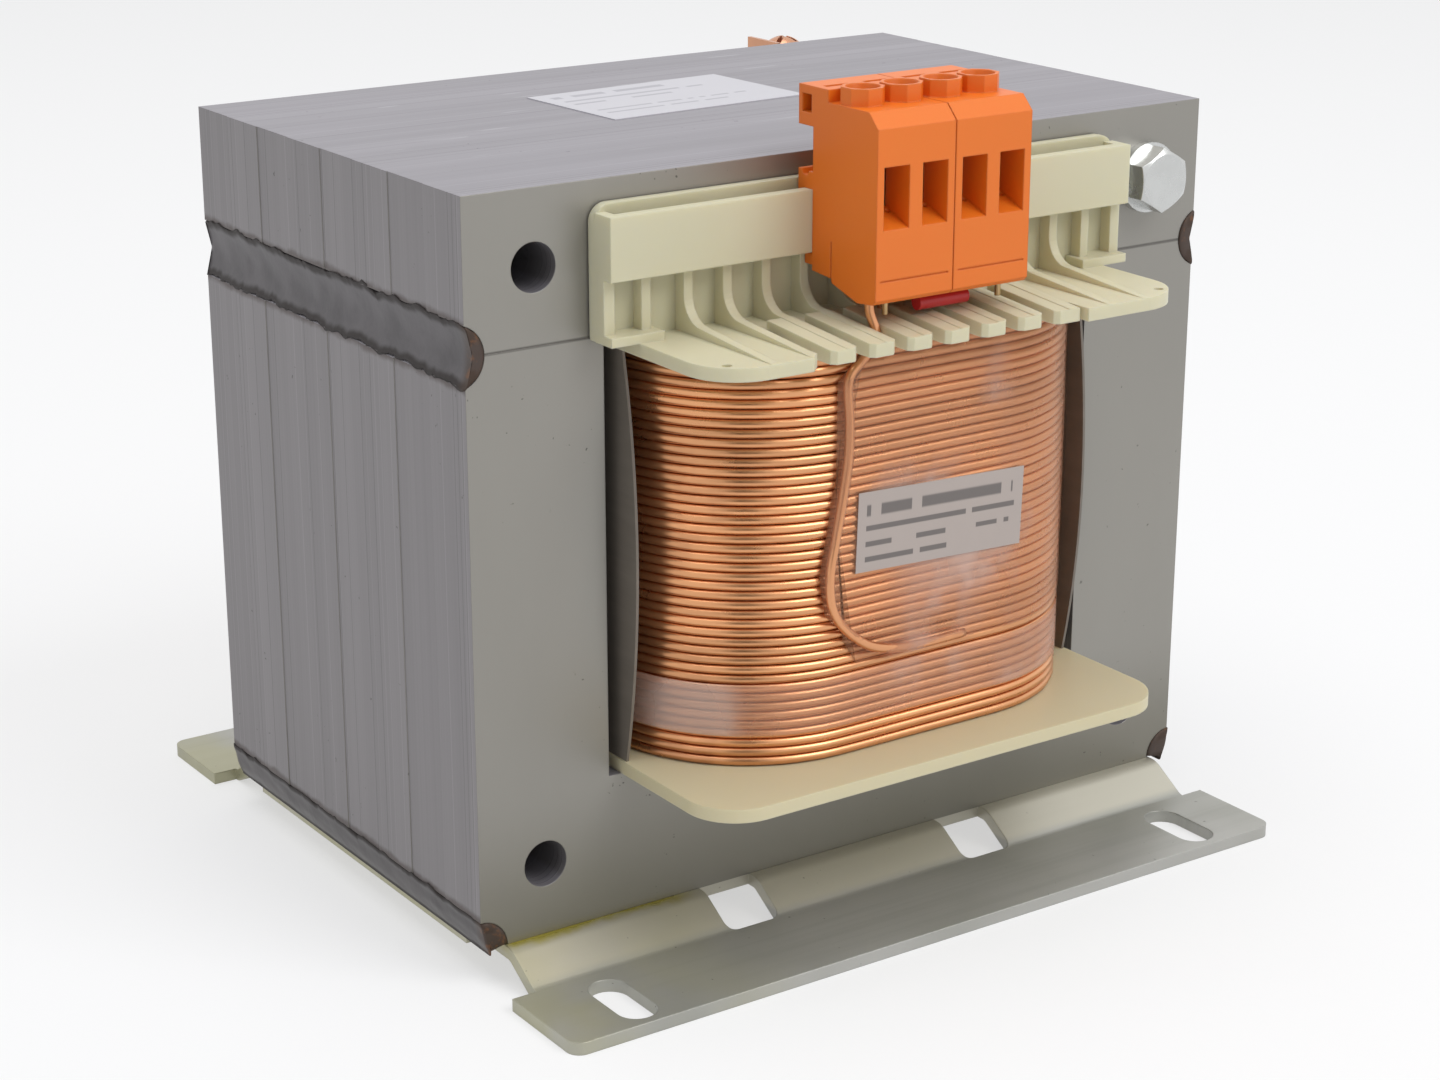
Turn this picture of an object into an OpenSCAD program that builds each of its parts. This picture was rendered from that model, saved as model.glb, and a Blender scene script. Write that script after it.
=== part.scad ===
// Chassis transformer: welded EI core, moulded former, two windings,
// folded base plate and a four-pole screw terminal on the former's rail.
// X is the width, Y the depth with the terminals at -Y, Z is up.
// The origin is on the mounting plane, under the middle of the core.

/* [Core] */
// Width of each outer limb of the E sheets
limb_w = 25; // [22:0.5:32]
// Width of the centre leg
leg_w = 50; // [40:0.5:70]
// Width of each window
window_w = 25; // [22:0.5:32]
// Height of each window
window_h = 75; // [60:0.5:95]
// Height of the yoke under the windows
yoke_h = 25; // [20:0.5:32]
// Height of the closing I yoke
i_yoke_h = 25; // [24:0.5:32]
// Depth of the pressed sheet stack
stack_d = 92.4; // [70:0.1:120]
// Diameter of the corner holes
core_hole_d = 8; // [7:0.1:10]
// Distance of the corner holes from the core's outer edges
core_hole_inset = 12.5; // [11:0.5:15]
// Number of sheet packets that show at the sides
packet_count = 8; // [2:1:14]
// Depth by which every second packet stands back at a side
packet_step = 0.12; // [0.04:0.01:0.25]

/* [Welds] */
// Radius of the round groove along each seam between E and I sheets
seam_groove_r = 5.3; // [4:0.1:6]
// Depth of the seam groove below the side face
seam_groove_depth = 3.5; // [2.5:0.1:4]
// Radius of the dished face of the seam bead
seam_dish_r = 11; // [8:0.5:20]
// Radius of the round groove along each lower side edge
base_groove_r = 5; // [3:0.1:6]
// Distance that the base bead runs down over the base plate's edge
base_bead_drop = 1.2; // [0.6:0.1:1.8]
// Distance of the base bead's face below the side face
base_bead_dish = 0.15; // [0.05:0.05:0.5]
// Height of the crater where a bead ends
crater_h = 0.4; // [0.2:0.05:1]
// Distance that a crater reaches over the edge of its groove
crater_lap = 0.4; // [0.2:0.1:1]

/* [Base plate] */
// Thickness of the folded sheet
sheet_t = 2.2; // [1.5:0.1:3]
// Height of the plate's underside above the mounting plane
foot_drop = 4.4; // [3:0.1:8]
// Distance from the core's end to the foot's outer edge
foot_reach = 28.8; // [26:0.1:36]
// Inner radius of the bends
bend_r = 2; // [1:0.1:3]
// Slope of the web between plate and foot, in degrees
web_slope = 32; // [25:1:60]
// Distance from the core's end to the upper bend
web_start = 0.9; // [0.5:0.1:3]
// Distance of the web's side edges from the core's sides
web_inset = 4.45; // [3:0.05:8]
// Distance of the plate's side edges from the core's sides
plate_inset = 1.7; // [1:0.1:2.5]
// Distance that the relief notches reach in under the core
notch_depth = 8; // [4:0.5:14]
// Corner radius of the feet
foot_corner_r = 2.5; // [1:0.1:4]
// Width of the mounting slots
slot_w = 7; // [5:0.1:9]
// Length of the mounting slots, end to end
slot_l = 15; // [11:0.1:16]
// Distance between slots along X
slot_spacing_x = 120.6; // [90:0.1:130]
// Distance from the foot's outer edge to the slot centres
slot_edge = 9.05; // [8.6:0.05:10]
// Width of the cut-outs in the webs
cutout_w = 10.6; // [6:0.1:20]
// Distance between the two cut-outs of a web
cutout_pitch = 51; // [30:0.5:80]
// Sideways offset of the cut-outs from the middle
cutout_shift = -1.4; // [-5:0.1:5]
// Radius of the cut-outs' lower corners
cutout_r = 2; // [0.5:0.1:3]

/* [Former] */
// Clearance between the centre leg and the former's tube
tube_gap = 0.4; // [0.2:0.05:0.8]
// Wall of the former's tube
tube_wall = 1.6; // [1:0.1:2.5]
// Clearance between the flanges and the outer limbs
flange_gap = 2.4; // [0.5:0.1:3]
// Thickness of the lower flange
lower_flange_t = 2.3; // [1.5:0.1:3.5]
// Thickness of the upper flange
upper_flange_t = 2.2; // [1.5:0.1:3.5]
// Clearance between the upper flange and the I yoke
yoke_gap = 0.3; // [0.1:0.05:0.8]
// Distance that the flanges reach beyond the core's ends
flange_reach = 29; // [27:0.1:34]
// Corner radius of the flanges
flange_corner_r = 9; // [5:0.5:14]
// Clearance between the ends of the terminal rail and the bolt's washers
rail_gap = 3.5; // [2.8:0.1:6]
// Clearance between the riser and the I yoke
riser_gap = 0.4; // [0.2:0.05:1]
// Thickness of the riser
riser_t = 1.8; // [1.2:0.1:2.2]
// Height of the riser above the rail's top
riser_top = 1.2; // [0.5:0.1:1.8]
// Corner radius of the riser
riser_corner_r = 3; // [1:0.1:4]
// Depth of the pocket between riser and rail
rail_pocket = 2.5; // [2.2:0.1:4]
// Thickness of the rail
rail_t = 2.2; // [1.6:0.1:3]
// Height of the rail
rail_h = 10.2; // [8:0.1:12]
// Height of the rail's lower edge above the upper flange
rail_rise = 10.3; // [9:0.1:12]
// Pitch of the fins
fin_pitch = 7.5; // [7:0.1:8.6]
// Number of curved fins on each side of the middle one
fin_side_count = 5; // [3:1:5]
// Thickness of the fins
fin_t = 1.7; // [1.2:0.1:2.2]
// Sideways offset of the fins from the middle of their pitch
fin_shift = 0.4; // [-0.6:0.1:0.6]
// Radius of the hollow at the foot of the fins
fin_hollow_r = 4.5; // [3:0.1:5]
// Slope of the fins' long edge, in degrees
fin_slope = 4.3; // [2:0.1:6]
// Distance of the fins' top below the rail's top
fin_top_drop = 3.2; // [2:0.1:6]
// Width of the comb slots between the fingers
comb_w = 2.5; // [2:0.1:3.4]
// Sideways offset of the comb slots from the middle of their pitch
comb_shift = -0.7; // [-1:0.1:0.8]
// Width by which a comb slot flares at its mouth, on each side
comb_flare = 0.8; // [0.3:0.1:1.2]
// Distance from the core's end to the root of the comb slots
comb_root = 10; // [9:0.1:14]
// Number of comb slots
comb_count = 7; // [4:1:9]
// Distance of the fingers' tips behind the flange's front edge
finger_drop = 1.2; // [0.4:0.1:2.5]
// Width of the narrow notch beside the last finger
notch_w = 0.8; // [0.5:0.1:1.5]
// Length of that notch
notch_l = 5; // [2:0.5:10]
// Diameter of the small hole near each tip of the flange
tip_hole_d = 1.6; // [1:0.1:2.5]
// Distance of that hole from the flange's side and front edges
tip_hole_inset = 3.8; // [3.4:0.1:6]
// Length of the ledges that close the rail's end pockets
ledge_l = 9.8; // [8.8:0.1:13]
// Height of the ledges
ledge_h = 1.5; // [1:0.1:2.5]
// Thickness of the rail's end walls
end_wall_t = 2; // [1:0.1:3]

/* [Windings] */
// Diameter of the enamelled wire
wire_d = 1.6; // [1:0.05:2]
// Thickness of the primary winding
primary_t = 8; // [5:0.1:9]
// Corner radius of the primary winding
primary_r = 14; // [9.5:0.5:16]
// Thickness of the insulation between the windings
insulation_t = 0.4; // [0.2:0.05:0.8]
// Thickness of the secondary winding on the long sides
secondary_t = 9.1; // [5:0.1:9.1]
// Extra crown of the secondary winding at the front and rear
crown = -0.5; // [-1:0.1:1]
// Corner radius of the secondary winding
secondary_r = 28; // [20:0.5:28]
// Clearance between the windings and the upper flange
winding_gap = 0.2; // [0.1:0.05:0.6]
// Thickness of the binding tape and of the cover film
film_t = 0.15; // [0.1:0.01:0.3]
// Height of the tape's lower edge above the lower flange
tape_z = 5.5; // [2:0.5:15]
// Width of the binding tape
tape_w = 9; // [5:0.5:15]
// Height of the cover film's lower edge above the lower flange
cover_z = 16; // [14:0.5:25]
// Distance of the cover film's left edge from the middle
cover_left = 18; // [10:0.5:18]
// Thickness of the window liners
liner_t = 0.5; // [0.3:0.05:0.8]
// Distance of the window liners from the outer limbs
liner_gap = 2.75; // [2.4:0.05:3]
// Bow of the window liners' front and rear edges
liner_bow = 3.6; // [1:0.1:6]

/* [Terminals] */
// Width of one two-pole terminal housing
block_w = 15.3; // [15:0.1:17]
// Gap between the two housings
block_gap = 0.2; // [0.1:0.05:0.5]
// Sideways offset of the housings from the middle
block_shift = 0.7; // [-10:0.1:10]
// Distance between the poles
pole_pitch = 7.6; // [7.2:0.1:7.8]
// Depth of the housings in front of the rail
block_d = 16.9; // [16:0.1:20]
// Height of the housings' shoulder above the rail's lower edge
block_h = 24.7; // [23:0.1:28]
// Depth of the housings below the rail's lower edge
block_drop = 5.9; // [5:0.1:6.2]
// Width of a wire entry
entry_w = 5; // [4.6:0.1:5.4]
// Height of a wire entry at the front
entry_h = 10; // [8:0.1:11]
// Height of a wire entry's sill above the rail's lower edge
entry_sill = 6.3; // [5:0.1:7]
// Distance of the screw towers' flats from their axes
tower_r = 3.3; // [3.2:0.05:3.6]
// Height of the screw towers above the shoulder
tower_h = 2.8; // [1:0.1:3.5]
// Distance of the screw towers' axes from the rail
tower_y = 7.7; // [7.4:0.1:8.4]
// Diameter of the clamp screws
clamp_screw_d = 3.5; // [3:0.1:3.8]
// Diameter of the clamp screws' heads
clamp_head_d = 4.4; // [4.1:0.1:4.8]
// Height of the clamp screws' heads
clamp_head_h = 2; // [1.4:0.1:2.4]
// Depth of the clamp cages
cage_d = 5.6; // [5:0.1:6]
// Height of the clamp cages
cage_h = 8; // [7:0.1:8.4]
// Space between neighbouring clamp cages
cage_space = 2.4; // [2.2:0.1:3]
// Height of the clamp cages above the wire entries' sill
cage_lift = 1.4; // [1:0.1:2]
// Wall of the clamp cages
cage_wall = 0.8; // [0.5:0.1:1]
// Clearance between a cage and its chamber
cage_gap = 0.2; // [0.1:0.05:0.3]
// Width of the solder pins
pin_d = 1; // [0.8:0.1:1.2]
// Length of the solder pins below the housings
pin_l = 2.6; // [2:0.1:3.2]
// Distance of the solder pins from the rail
pin_reach = 12.1; // [11.6:0.1:12.8]
// Sideways offset of the solder pins from their poles
pin_shift = 1.75; // [1.5:0.05:1.9]

/* [Earth connection] */
// Thread diameter of the earth bolt
bolt_d = 6; // [5:0.1:6.6]
// Width across flats of the bolt's head and nut
bolt_af = 10; // [9:0.1:11]
// Height of the bolt's head
bolt_head_h = 4; // [3:0.1:5]
// Height of the bolt's nut
bolt_nut_h = 5; // [4:0.1:5.2]
// Diameter of the bolt's washers
washer_d = 12.4; // [12:0.1:13]
// Thickness of the bolt's washers
washer_t = 1.6; // [1:0.1:2]
// Thickness of the earth bracket
bracket_t = 1.2; // [1:0.1:1.6]
// Distance of the earth bracket's outer edge from the bolt's axis
bracket_side = 6.5; // [6.2:0.1:8]
// Clearance between the earth bracket and the former
bracket_gap = 0.4; // [0.2:0.1:1]
// Length of the bracket's tab behind the core
bracket_l = 15; // [14:0.1:20]
// Distance of the tab's top face below the core's top
bracket_drop = 3.9; // [3.2:0.1:4.2]
// Diameter of the earth screw
earth_screw_d = 4; // [3:0.1:4.4]
// Diameter of the earth screw's head
earth_head_d = 7.8; // [7:0.1:8.4]
// Height of the earth screw's head
earth_head_h = 3; // [2.4:0.1:3.4]
// Distance of the earth screw behind the core
earth_screw_y = 8.6; // [8.4:0.1:9]
// Thickness of the square washer under the earth screw
clamp_washer_t = 0.8; // [0.5:0.1:1.2]
// Height of the earth screw's nut
earth_nut_h = 2.2; // [1.6:0.1:3]
// Sideways distance of the earth screw from the bolt
earth_screw_dx = 6; // [5.5:0.1:6.5]

/* [Labels] */
// Length of the label on the core
top_label_l = 41.5; // [20:0.5:60]
// Width of the label on the core
top_label_w = 27; // [10:0.5:40]
// Sideways offset of that label
top_label_x = -2; // [-10:0.5:10]
// Distance of that label behind the core's middle
top_label_y = 8.5; // [0:0.5:15]
// Length of the label on the winding
coil_label_l = 34.6; // [20:0.1:36]
// Width of the label on the winding
coil_label_w = 13.6; // [8:0.1:20]
// Sideways offset of that label
coil_label_x = 3.2; // [-5:0.1:5]
// Height of that label's middle, as a share of the winding's height
coil_label_share = 0.54; // [0.4:0.01:0.7]
// Thickness of the labels
label_t = 0.15; // [0.1:0.01:0.3]

/* [Hidden] */
$fn = 48;

// Small overlap that joins parts of one piece, and overshoot of the cuts
eps = 0.02;
over = 1;

// Core
core_w = 2 * limb_w + 2 * window_w + leg_w;
half_w = core_w / 2;
half_d = stack_d / 2;
core_z = foot_drop + sheet_t;
yoke_z = core_z + yoke_h;
seam_z = yoke_z + window_h;
top_z = seam_z + i_yoke_h;
window_x = leg_w / 2 + window_w;
core_hole_x = half_w - core_hole_inset;
seam_groove_out = seam_groove_r - seam_groove_depth;
seam_chord = sqrt(pow(seam_groove_r, 2) - pow(seam_groove_out, 2));
seam_dish_out = sqrt(pow(seam_dish_r, 2) - pow(seam_chord, 2));
base_bead_lean = plate_inset - base_bead_dish;
base_bead_r = (pow(base_bead_lean, 2) + pow(base_groove_r + base_bead_drop, 2)) / (2 * base_bead_lean);

// Base plate, measured outwards from the core's end
bend_mid_r = bend_r + sheet_t / 2;
web_run = (foot_drop - 2 * bend_mid_r * (1 - cos(web_slope))) / sin(web_slope);
web_end = web_start + 2 * bend_mid_r * sin(web_slope) + web_run * cos(web_slope);

// Former
rail_w = 2 * (core_hole_x - washer_d / 2 - rail_gap);
tube_x = leg_w / 2 + tube_gap + tube_wall;
tube_y = half_d + tube_gap + tube_wall;
flange_x = window_x - flange_gap;
flange_y = half_d + flange_reach;
winding_z = yoke_z + lower_flange_t;
flange_top_z = seam_z - yoke_gap;
flange_under_z = flange_top_z - upper_flange_t;
winding_top_z = flange_under_z - winding_gap;
riser_back = half_d + riser_gap;
riser_front = riser_back + riser_t;
rail_back = riser_front + rail_pocket;
rail_front = rail_back + rail_t;
rail_z = flange_top_z + rail_rise;
rail_top_z = rail_z + rail_h;

// Windings: half sizes of each layer's outer face
primary_x = tube_x + primary_t;
primary_y = tube_y + primary_t;
insulation_x = primary_x + insulation_t;
insulation_y = primary_y + insulation_t;
secondary_x = insulation_x + secondary_t;
secondary_y = insulation_y + secondary_t + crown;
turns = floor((winding_top_z - winding_z - 2 * eps) / wire_d);
liner_x = window_x - liner_gap - liner_t / 2;

// Terminals
block_pitch = block_w + block_gap;
cage_w = pole_pitch - cage_space;
cage_z = rail_z + entry_sill + cage_lift;
pin_z = rail_z - block_drop;
pin_y = rail_front + pin_reach;

// Earth connection
bolt_x = core_hole_x;
bolt_z = top_z - core_hole_inset;
bracket_z = top_z - bracket_drop;
screw_x = bolt_x - earth_screw_dx;
screw_y = half_d + earth_screw_y;

// Lead wires
lead_y = secondary_y + film_t + wire_d / 2;

// ---- helpers ----

// Extrudes an X-Z outline along Y
module along_y(y0, y1) {
    translate([0, y1, 0])
        rotate([90, 0, 0])
            linear_extrude(y1 - y0)
                children();
}

// Extrudes a Y-Z outline along X
module along_x(x0, x1) {
    translate([x0, 0, 0])
        rotate([90, 0, 90])
            linear_extrude(x1 - x0)
                children();
}

// Both the part and its copy turned to the other end
module both_ends() {
    for (turn = [0, 180])
        rotate([0, 0, turn])
            children();
}

// Both the part and its mirror image across the middle
module both_sides() {
    for (side = [0, 1])
        mirror([side, 0, 0])
            children();
}

// Rectangle given by half sizes, with round corners
module rounded_rect(half_x, half_y, r) {
    square([2 * (half_x - r), 2 * half_y], center = true);
    square([2 * half_x, 2 * (half_y - r)], center = true);
    for (x = [-1, 1], y = [-1, 1])
        translate([x * (half_x - r), y * (half_y - r)])
            circle(r);
}

module hexagon(across_flats) {
    circle(r = across_flats / 2 / cos(30), $fn = 6);
}

function arc(cx, cy, r, from, to, steps) =
    [for (i = [0:steps]) let (a = from + (to - from) * i / steps) [cx + r * cos(a), cy + r * sin(a)]];

function unit(v) = v / norm(v);

// Smooth curve through the points of a route
function curve_point(a, b, c, d, t) =
    0.5 * (2 * b + (c - a) * t + (2 * a - 5 * b + 4 * c - d) * t * t + (3 * b - a - 3 * c + d) * t * t * t);
function curve(p, steps) = concat(
    [for (i = [0:len(p) - 2], s = [0:steps - 1])
        curve_point(p[max(i - 1, 0)], p[i], p[i + 1], p[min(i + 2, len(p) - 1)], s / steps)],
    [p[len(p) - 1]]);
function tangents(p) =
    [for (i = [0:len(p) - 1]) unit(p[min(i + 1, len(p) - 1)] - p[max(i - 1, 0)])];
function carried(n, t) = unit(n - (n * t) * t);
function normals(t, n, i = 0) =
    i == len(t) ? [] : let (m = carried(n, t[i])) concat([m], normals(t, m, i + 1));

// Round wire swept along a smooth route
module wire(route, d, sides = 8, steps = 3) {
    p = curve(route, steps);
    t = tangents(p);
    n = normals(t, [0, 1, 0.01]);
    rings = len(p);
    points = [for (i = [0:rings - 1], s = [0:sides - 1])
        let (a = 360 * s / sides)
            p[i] + d / 2 * (cos(a) * n[i] + sin(a) * cross(t[i], n[i]))];
    walls = [for (i = [0:rings - 2], s = [0:sides - 1])
        let (a = i * sides + s, b = i * sides + (s + 1) % sides)
            [a, a + sides, b + sides, b]];
    ends = [[for (s = [0:sides - 1]) s], [for (s = [0:sides - 1]) rings * sides - 1 - s]];
    polyhedron(points, concat(walls, ends), convexity = 6);
}

// ---- core ----

module seam_groove() {
    both_sides()
        translate([half_w + seam_groove_out, seam_z])
            circle(seam_groove_r);
}

module base_groove() {
    both_sides()
        translate([half_w, core_z])
            circle(base_groove_r);
}

module corner_hole(z) {
    both_sides()
        translate([core_hole_x, z])
            circle(d = core_hole_d);
}

// Steps in the side faces where a packet of sheets stands back
module packet_steps(z0, z1) {
    packet_d = stack_d / packet_count;
    for (i = [0:packet_count - 1])
        translate([i % 2 == 0 ? half_w - packet_step : -half_w - over, -half_d + i * packet_d, z0 - over])
            cube([packet_step + over, packet_d + (i == packet_count - 1 ? over : 0), z1 - z0 + 2 * over]);
}

module e_lamination_stack() {
    color([0.47, 0.46, 0.45])
        difference() {
            along_y(-half_d, half_d)
                difference() {
                    translate([-half_w, core_z])
                        square([core_w, seam_z - core_z]);
                    both_sides()
                        translate([leg_w / 2, yoke_z])
                            square([window_w, window_h + over]);
                    seam_groove();
                    base_groove();
                    corner_hole(core_z + core_hole_inset);
                }
            packet_steps(core_z, seam_z);
        }
}

module i_lamination_stack() {
    color([0.52, 0.51, 0.53])
        difference() {
            along_y(-half_d, half_d)
                difference() {
                    translate([-half_w, seam_z])
                        square([core_w, i_yoke_h]);
                    seam_groove();
                    corner_hole(bolt_z);
                }
            packet_steps(seam_z, top_z);
        }
}

// ---- welds ----

// Low dome where a bead ends, on the core's end face, inside the bead's outline
module crater(x, z, r) {
    dome_r = (pow(r, 2) + pow(crater_h, 2)) / (2 * crater_h);
    intersection() {
        translate([x, -half_d - crater_h + dome_r, z])
            sphere(dome_r, $fn = 240);
        along_y(-half_d - 2 * crater_h, -half_d + eps)
            children();
    }
}

// Bead in X-Z within reach of the groove's axis, dished at its outer face
module seam_bead(reach, dish_r) {
    difference() {
        intersection() {
            translate([half_w + seam_groove_out, seam_z])
                circle(reach);
            translate([half_w - reach, seam_z - reach])
                square([reach, 2 * reach]);
        }
        translate([half_w + seam_dish_out, seam_z])
            circle(dish_r, $fn = 96);
    }
}

module seam_weld() {
    reach = seam_groove_r + crater_lap;
    color([0.36, 0.29, 0.25]) {
        along_y(-half_d, half_d)
            seam_bead(seam_groove_r, seam_dish_r);
        crater(half_w + seam_groove_out, seam_z, reach)
            seam_bead(2 * reach, seam_dish_r + eps);
    }
}

module base_weld() {
    reach = base_groove_r + crater_lap;
    color([0.30, 0.26, 0.24]) {
        along_y(-half_d, half_d)
            intersection() {
                union() {
                    intersection() {
                        translate([half_w, core_z])
                            circle(base_groove_r);
                        translate([half_w - base_groove_r, core_z])
                            square(base_groove_r);
                    }
                    translate([half_w - plate_inset, core_z - base_bead_drop - over])
                        square([plate_inset, base_bead_drop + over + eps]);
                }
                translate([half_w - base_bead_dish - base_bead_r, core_z + base_groove_r])
                    circle(base_bead_r, $fn = 96);
            }
        crater(half_w, core_z, reach)
            intersection() {
                translate([half_w - 2 * reach, core_z + eps])
                    square([2 * reach, reach]);
                translate([half_w - base_bead_dish - base_bead_r, core_z + base_groove_r])
                    circle(base_bead_r - eps, $fn = 96);
            }
    }
}

module seam_weld_left() mirror([1, 0, 0]) seam_weld();
module seam_weld_right() seam_weld();
module base_weld_left() mirror([1, 0, 0]) base_weld();
module base_weld_right() base_weld();

// ---- base plate ----

// One end of the sheet in Y-Z, from under the core out to the foot's edge
module sheet_section() {
    top = core_z;
    hollow = bend_r;
    full = bend_r + sheet_t;
    start = half_d + web_start;
    stop = half_d + web_end;
    upper = arc(start, top - full, full, 90, 90 - web_slope, 8);
    lower = arc(stop, full, hollow, 270 - web_slope, 270, 8);
    under = arc(stop, full, full, 270, 270 - web_slope, 8);
    inner = arc(start, top - full, hollow, 90 - web_slope, 90, 8);
    polygon(concat(
        [[0, top]],
        upper,
        lower,
        [[half_d + foot_reach, sheet_t], [half_d + foot_reach, 0]],
        under,
        inner,
        [[0, top - sheet_t]]));
}

// Flat outline of one end of the sheet, seen from above
module sheet_outline() {
    foot_back = half_d + web_end;
    foot_front = half_d + foot_reach;
    translate([-half_w + plate_inset, -eps])
        square([core_w - 2 * plate_inset, half_d - notch_depth + eps]);
    translate([-half_w + web_inset, -eps])
        square([core_w - 2 * web_inset, foot_front]);
    translate([-half_w, foot_back])
        square([core_w, foot_front - foot_back - foot_corner_r]);
    translate([-half_w + foot_corner_r, foot_back])
        square([core_w - 2 * foot_corner_r, foot_front - foot_back]);
    both_sides()
        translate([half_w - foot_corner_r, foot_front - foot_corner_r])
            circle(foot_corner_r);
}

module mounting_slot() {
    straight = (slot_l - slot_w) / 2;
    for (y = [-straight, straight])
        translate([0, y])
            circle(d = slot_w);
    square([slot_w, 2 * straight], center = true);
}

module web_cutout() {
    y_in = half_d - 0.5;
    y_out = half_d + web_end - 0.3;
    translate([-cutout_w / 2, y_in])
        square([cutout_w, y_out - y_in - cutout_r]);
    translate([-cutout_w / 2 + cutout_r, y_in])
        square([cutout_w - 2 * cutout_r, y_out - y_in]);
    for (x = [-1, 1])
        translate([x * (cutout_w / 2 - cutout_r), y_out - cutout_r])
            circle(cutout_r);
}

module base_plate() {
    color([0.62, 0.62, 0.58])
        for (end = [0, 1])
            mirror([0, end, 0])
                intersection() {
                    along_x(-half_w - over, half_w + over)
                        sheet_section();
                    translate([0, 0, -over])
                        linear_extrude(core_z + 2 * over)
                            difference() {
                                sheet_outline();
                                for (side = [-1, 1])
                                    translate([side * slot_spacing_x / 2, half_d + foot_reach - slot_edge])
                                        mounting_slot();
                                for (side = [-1, 1])
                                    translate([cutout_shift + side * cutout_pitch / 2, 0])
                                        web_cutout();
                            }
                }
}

// ---- former ----

module leg_tube(half_x, half_y, z0, z1) {
    translate([-half_x, -half_y, z0])
        cube([2 * half_x, 2 * half_y, z1 - z0]);
}

// Y-Z outline of a fin at the front: wall behind the rail, hollow, then a long slope
module fin_section() {
    hollow_y = -rail_back - fin_hollow_r;
    hollow_z = flange_top_z + (flange_y + hollow_y) * tan(fin_slope) + fin_hollow_r / cos(fin_slope);
    polygon(concat(
        [[-riser_front + eps, flange_top_z - eps], [-riser_front + eps, rail_top_z - fin_top_drop]],
        [[-rail_back - eps, rail_top_z - fin_top_drop], [-rail_back - eps, rail_z]],
        arc(hollow_y, hollow_z, fin_hollow_r, 0, fin_slope - 90, 8),
        [[-flange_y, flange_top_z], [-flange_y, flange_top_z - eps]]));
}

module fins() {
    for (k = [-fin_side_count:fin_side_count])
        translate([k * fin_pitch + fin_shift, 0, 0])
            along_x(-fin_t / 2, fin_t / 2)
                fin_section();
}

function comb_x(k) = fin_pitch * (k - ceil(comb_count / 2) + 0.5) + comb_shift;

// Low ridges that stiffen the fingers between the comb slots, and the last finger
module finger_ridges() {
    root = half_d + comb_root;
    for (k = [0:comb_count - 1])
        along_x(comb_x(k) + comb_w / 2 - eps, comb_x(k) + fin_pitch - comb_w / 2 + eps)
            polygon([
                [-root, flange_top_z - eps], [-root, flange_top_z + (flange_y - root) * tan(fin_slope) - 0.1],
                [-flange_y, flange_top_z - 0.1], [-flange_y, flange_top_z - 0.2]]);
}

// Straight ribs that close the rail's end pockets, with a ledge at their foot
module end_pocket() {
    rib_x = (fin_side_count + 1) * fin_pitch;
    translate([rib_x - fin_t / 2, -rail_back, flange_top_z])
        cube([fin_t, rail_pocket + eps, rail_rise + rail_h - fin_top_drop]);
    translate([rail_w / 2 - end_wall_t, -rail_back, flange_top_z])
        cube([end_wall_t, rail_pocket + eps, rail_rise + rail_h]);
    translate([rail_w / 2 - ledge_l, -rail_front, flange_top_z - eps])
        cube([ledge_l, rail_front - riser_front + eps, ledge_h]);
}

module riser() {
    height = rail_top_z + riser_top - flange_under_z;
    difference() {
        along_y(-riser_front, -riser_back)
            translate([0, flange_under_z + height / 2])
                rounded_rect(rail_w / 2, height / 2, riser_corner_r);
        translate([-half_w, -riser_front - over, flange_under_z - over])
            cube([core_w, riser_t + 2 * over, upper_flange_t + over]);
    }
}

module rail() {
    translate([-rail_w / 2, -rail_front, rail_z])
        cube([rail_w, rail_t, rail_h]);
}

// Slot with a round root and a flared mouth, open at the flange's front edge
module comb_slot() {
    root = half_d + comb_root;
    tip = flange_y - finger_drop;
    mouth = comb_w / 2 + 3 * comb_flare;
    translate([0, -root - comb_w / 2])
        circle(d = comb_w);
    translate([-comb_w / 2, -flange_y - over])
        square([comb_w, flange_y + over - root - comb_w / 2]);
    polygon([
        [-comb_w / 2, comb_flare - tip], [comb_w / 2, comb_flare - tip],
        [mouth, -tip - 2 * comb_flare], [-mouth, -tip - 2 * comb_flare]]);
}

// Cuts in the upper flange: comb slots, room before the fingers' tips, notch and tip holes
module flange_cuts() {
    notch_x = comb_x(comb_count - 1) + fin_pitch - comb_w / 2;
    translate([0, 0, flange_under_z - over])
        linear_extrude(upper_flange_t + fin_hollow_r + over) {
            for (k = [0:comb_count - 1])
                translate([comb_x(k), 0])
                    comb_slot();
            translate([comb_x(0), -flange_y - over])
                square([notch_x + notch_w - comb_x(0), over + finger_drop]);
            translate([notch_x, -flange_y - over])
                square([notch_w, over + notch_l]);
            for (x = [-1, 1])
                translate([x * (flange_x - tip_hole_inset), tip_hole_inset - flange_y])
                    circle(d = tip_hole_d);
        }
}

module flange_plate(z, thickness) {
    translate([0, 0, z])
        linear_extrude(thickness)
            rounded_rect(flange_x, flange_y, flange_corner_r);
}

module bobbin() {
    color([0.86, 0.85, 0.70])
        difference() {
            union() {
                flange_plate(yoke_z, lower_flange_t);
                flange_plate(flange_under_z, upper_flange_t);
                leg_tube(tube_x, tube_y, yoke_z, flange_top_z);
                both_ends() {
                    riser();
                    rail();
                    both_sides()
                        end_pocket();
                    fins();
                    finger_ridges();
                }
            }
            leg_tube(tube_x - tube_wall, tube_y - tube_wall, yoke_z - over, flange_top_z + over);
            both_ends()
                flange_cuts();
        }
}

// ---- windings ----

module ring(outer_x, outer_y, outer_r, inner_x, inner_y, inner_r) {
    difference() {
        rounded_rect(outer_x, outer_y, outer_r);
        rounded_rect(inner_x, inner_y, inner_r);
    }
}

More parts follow.
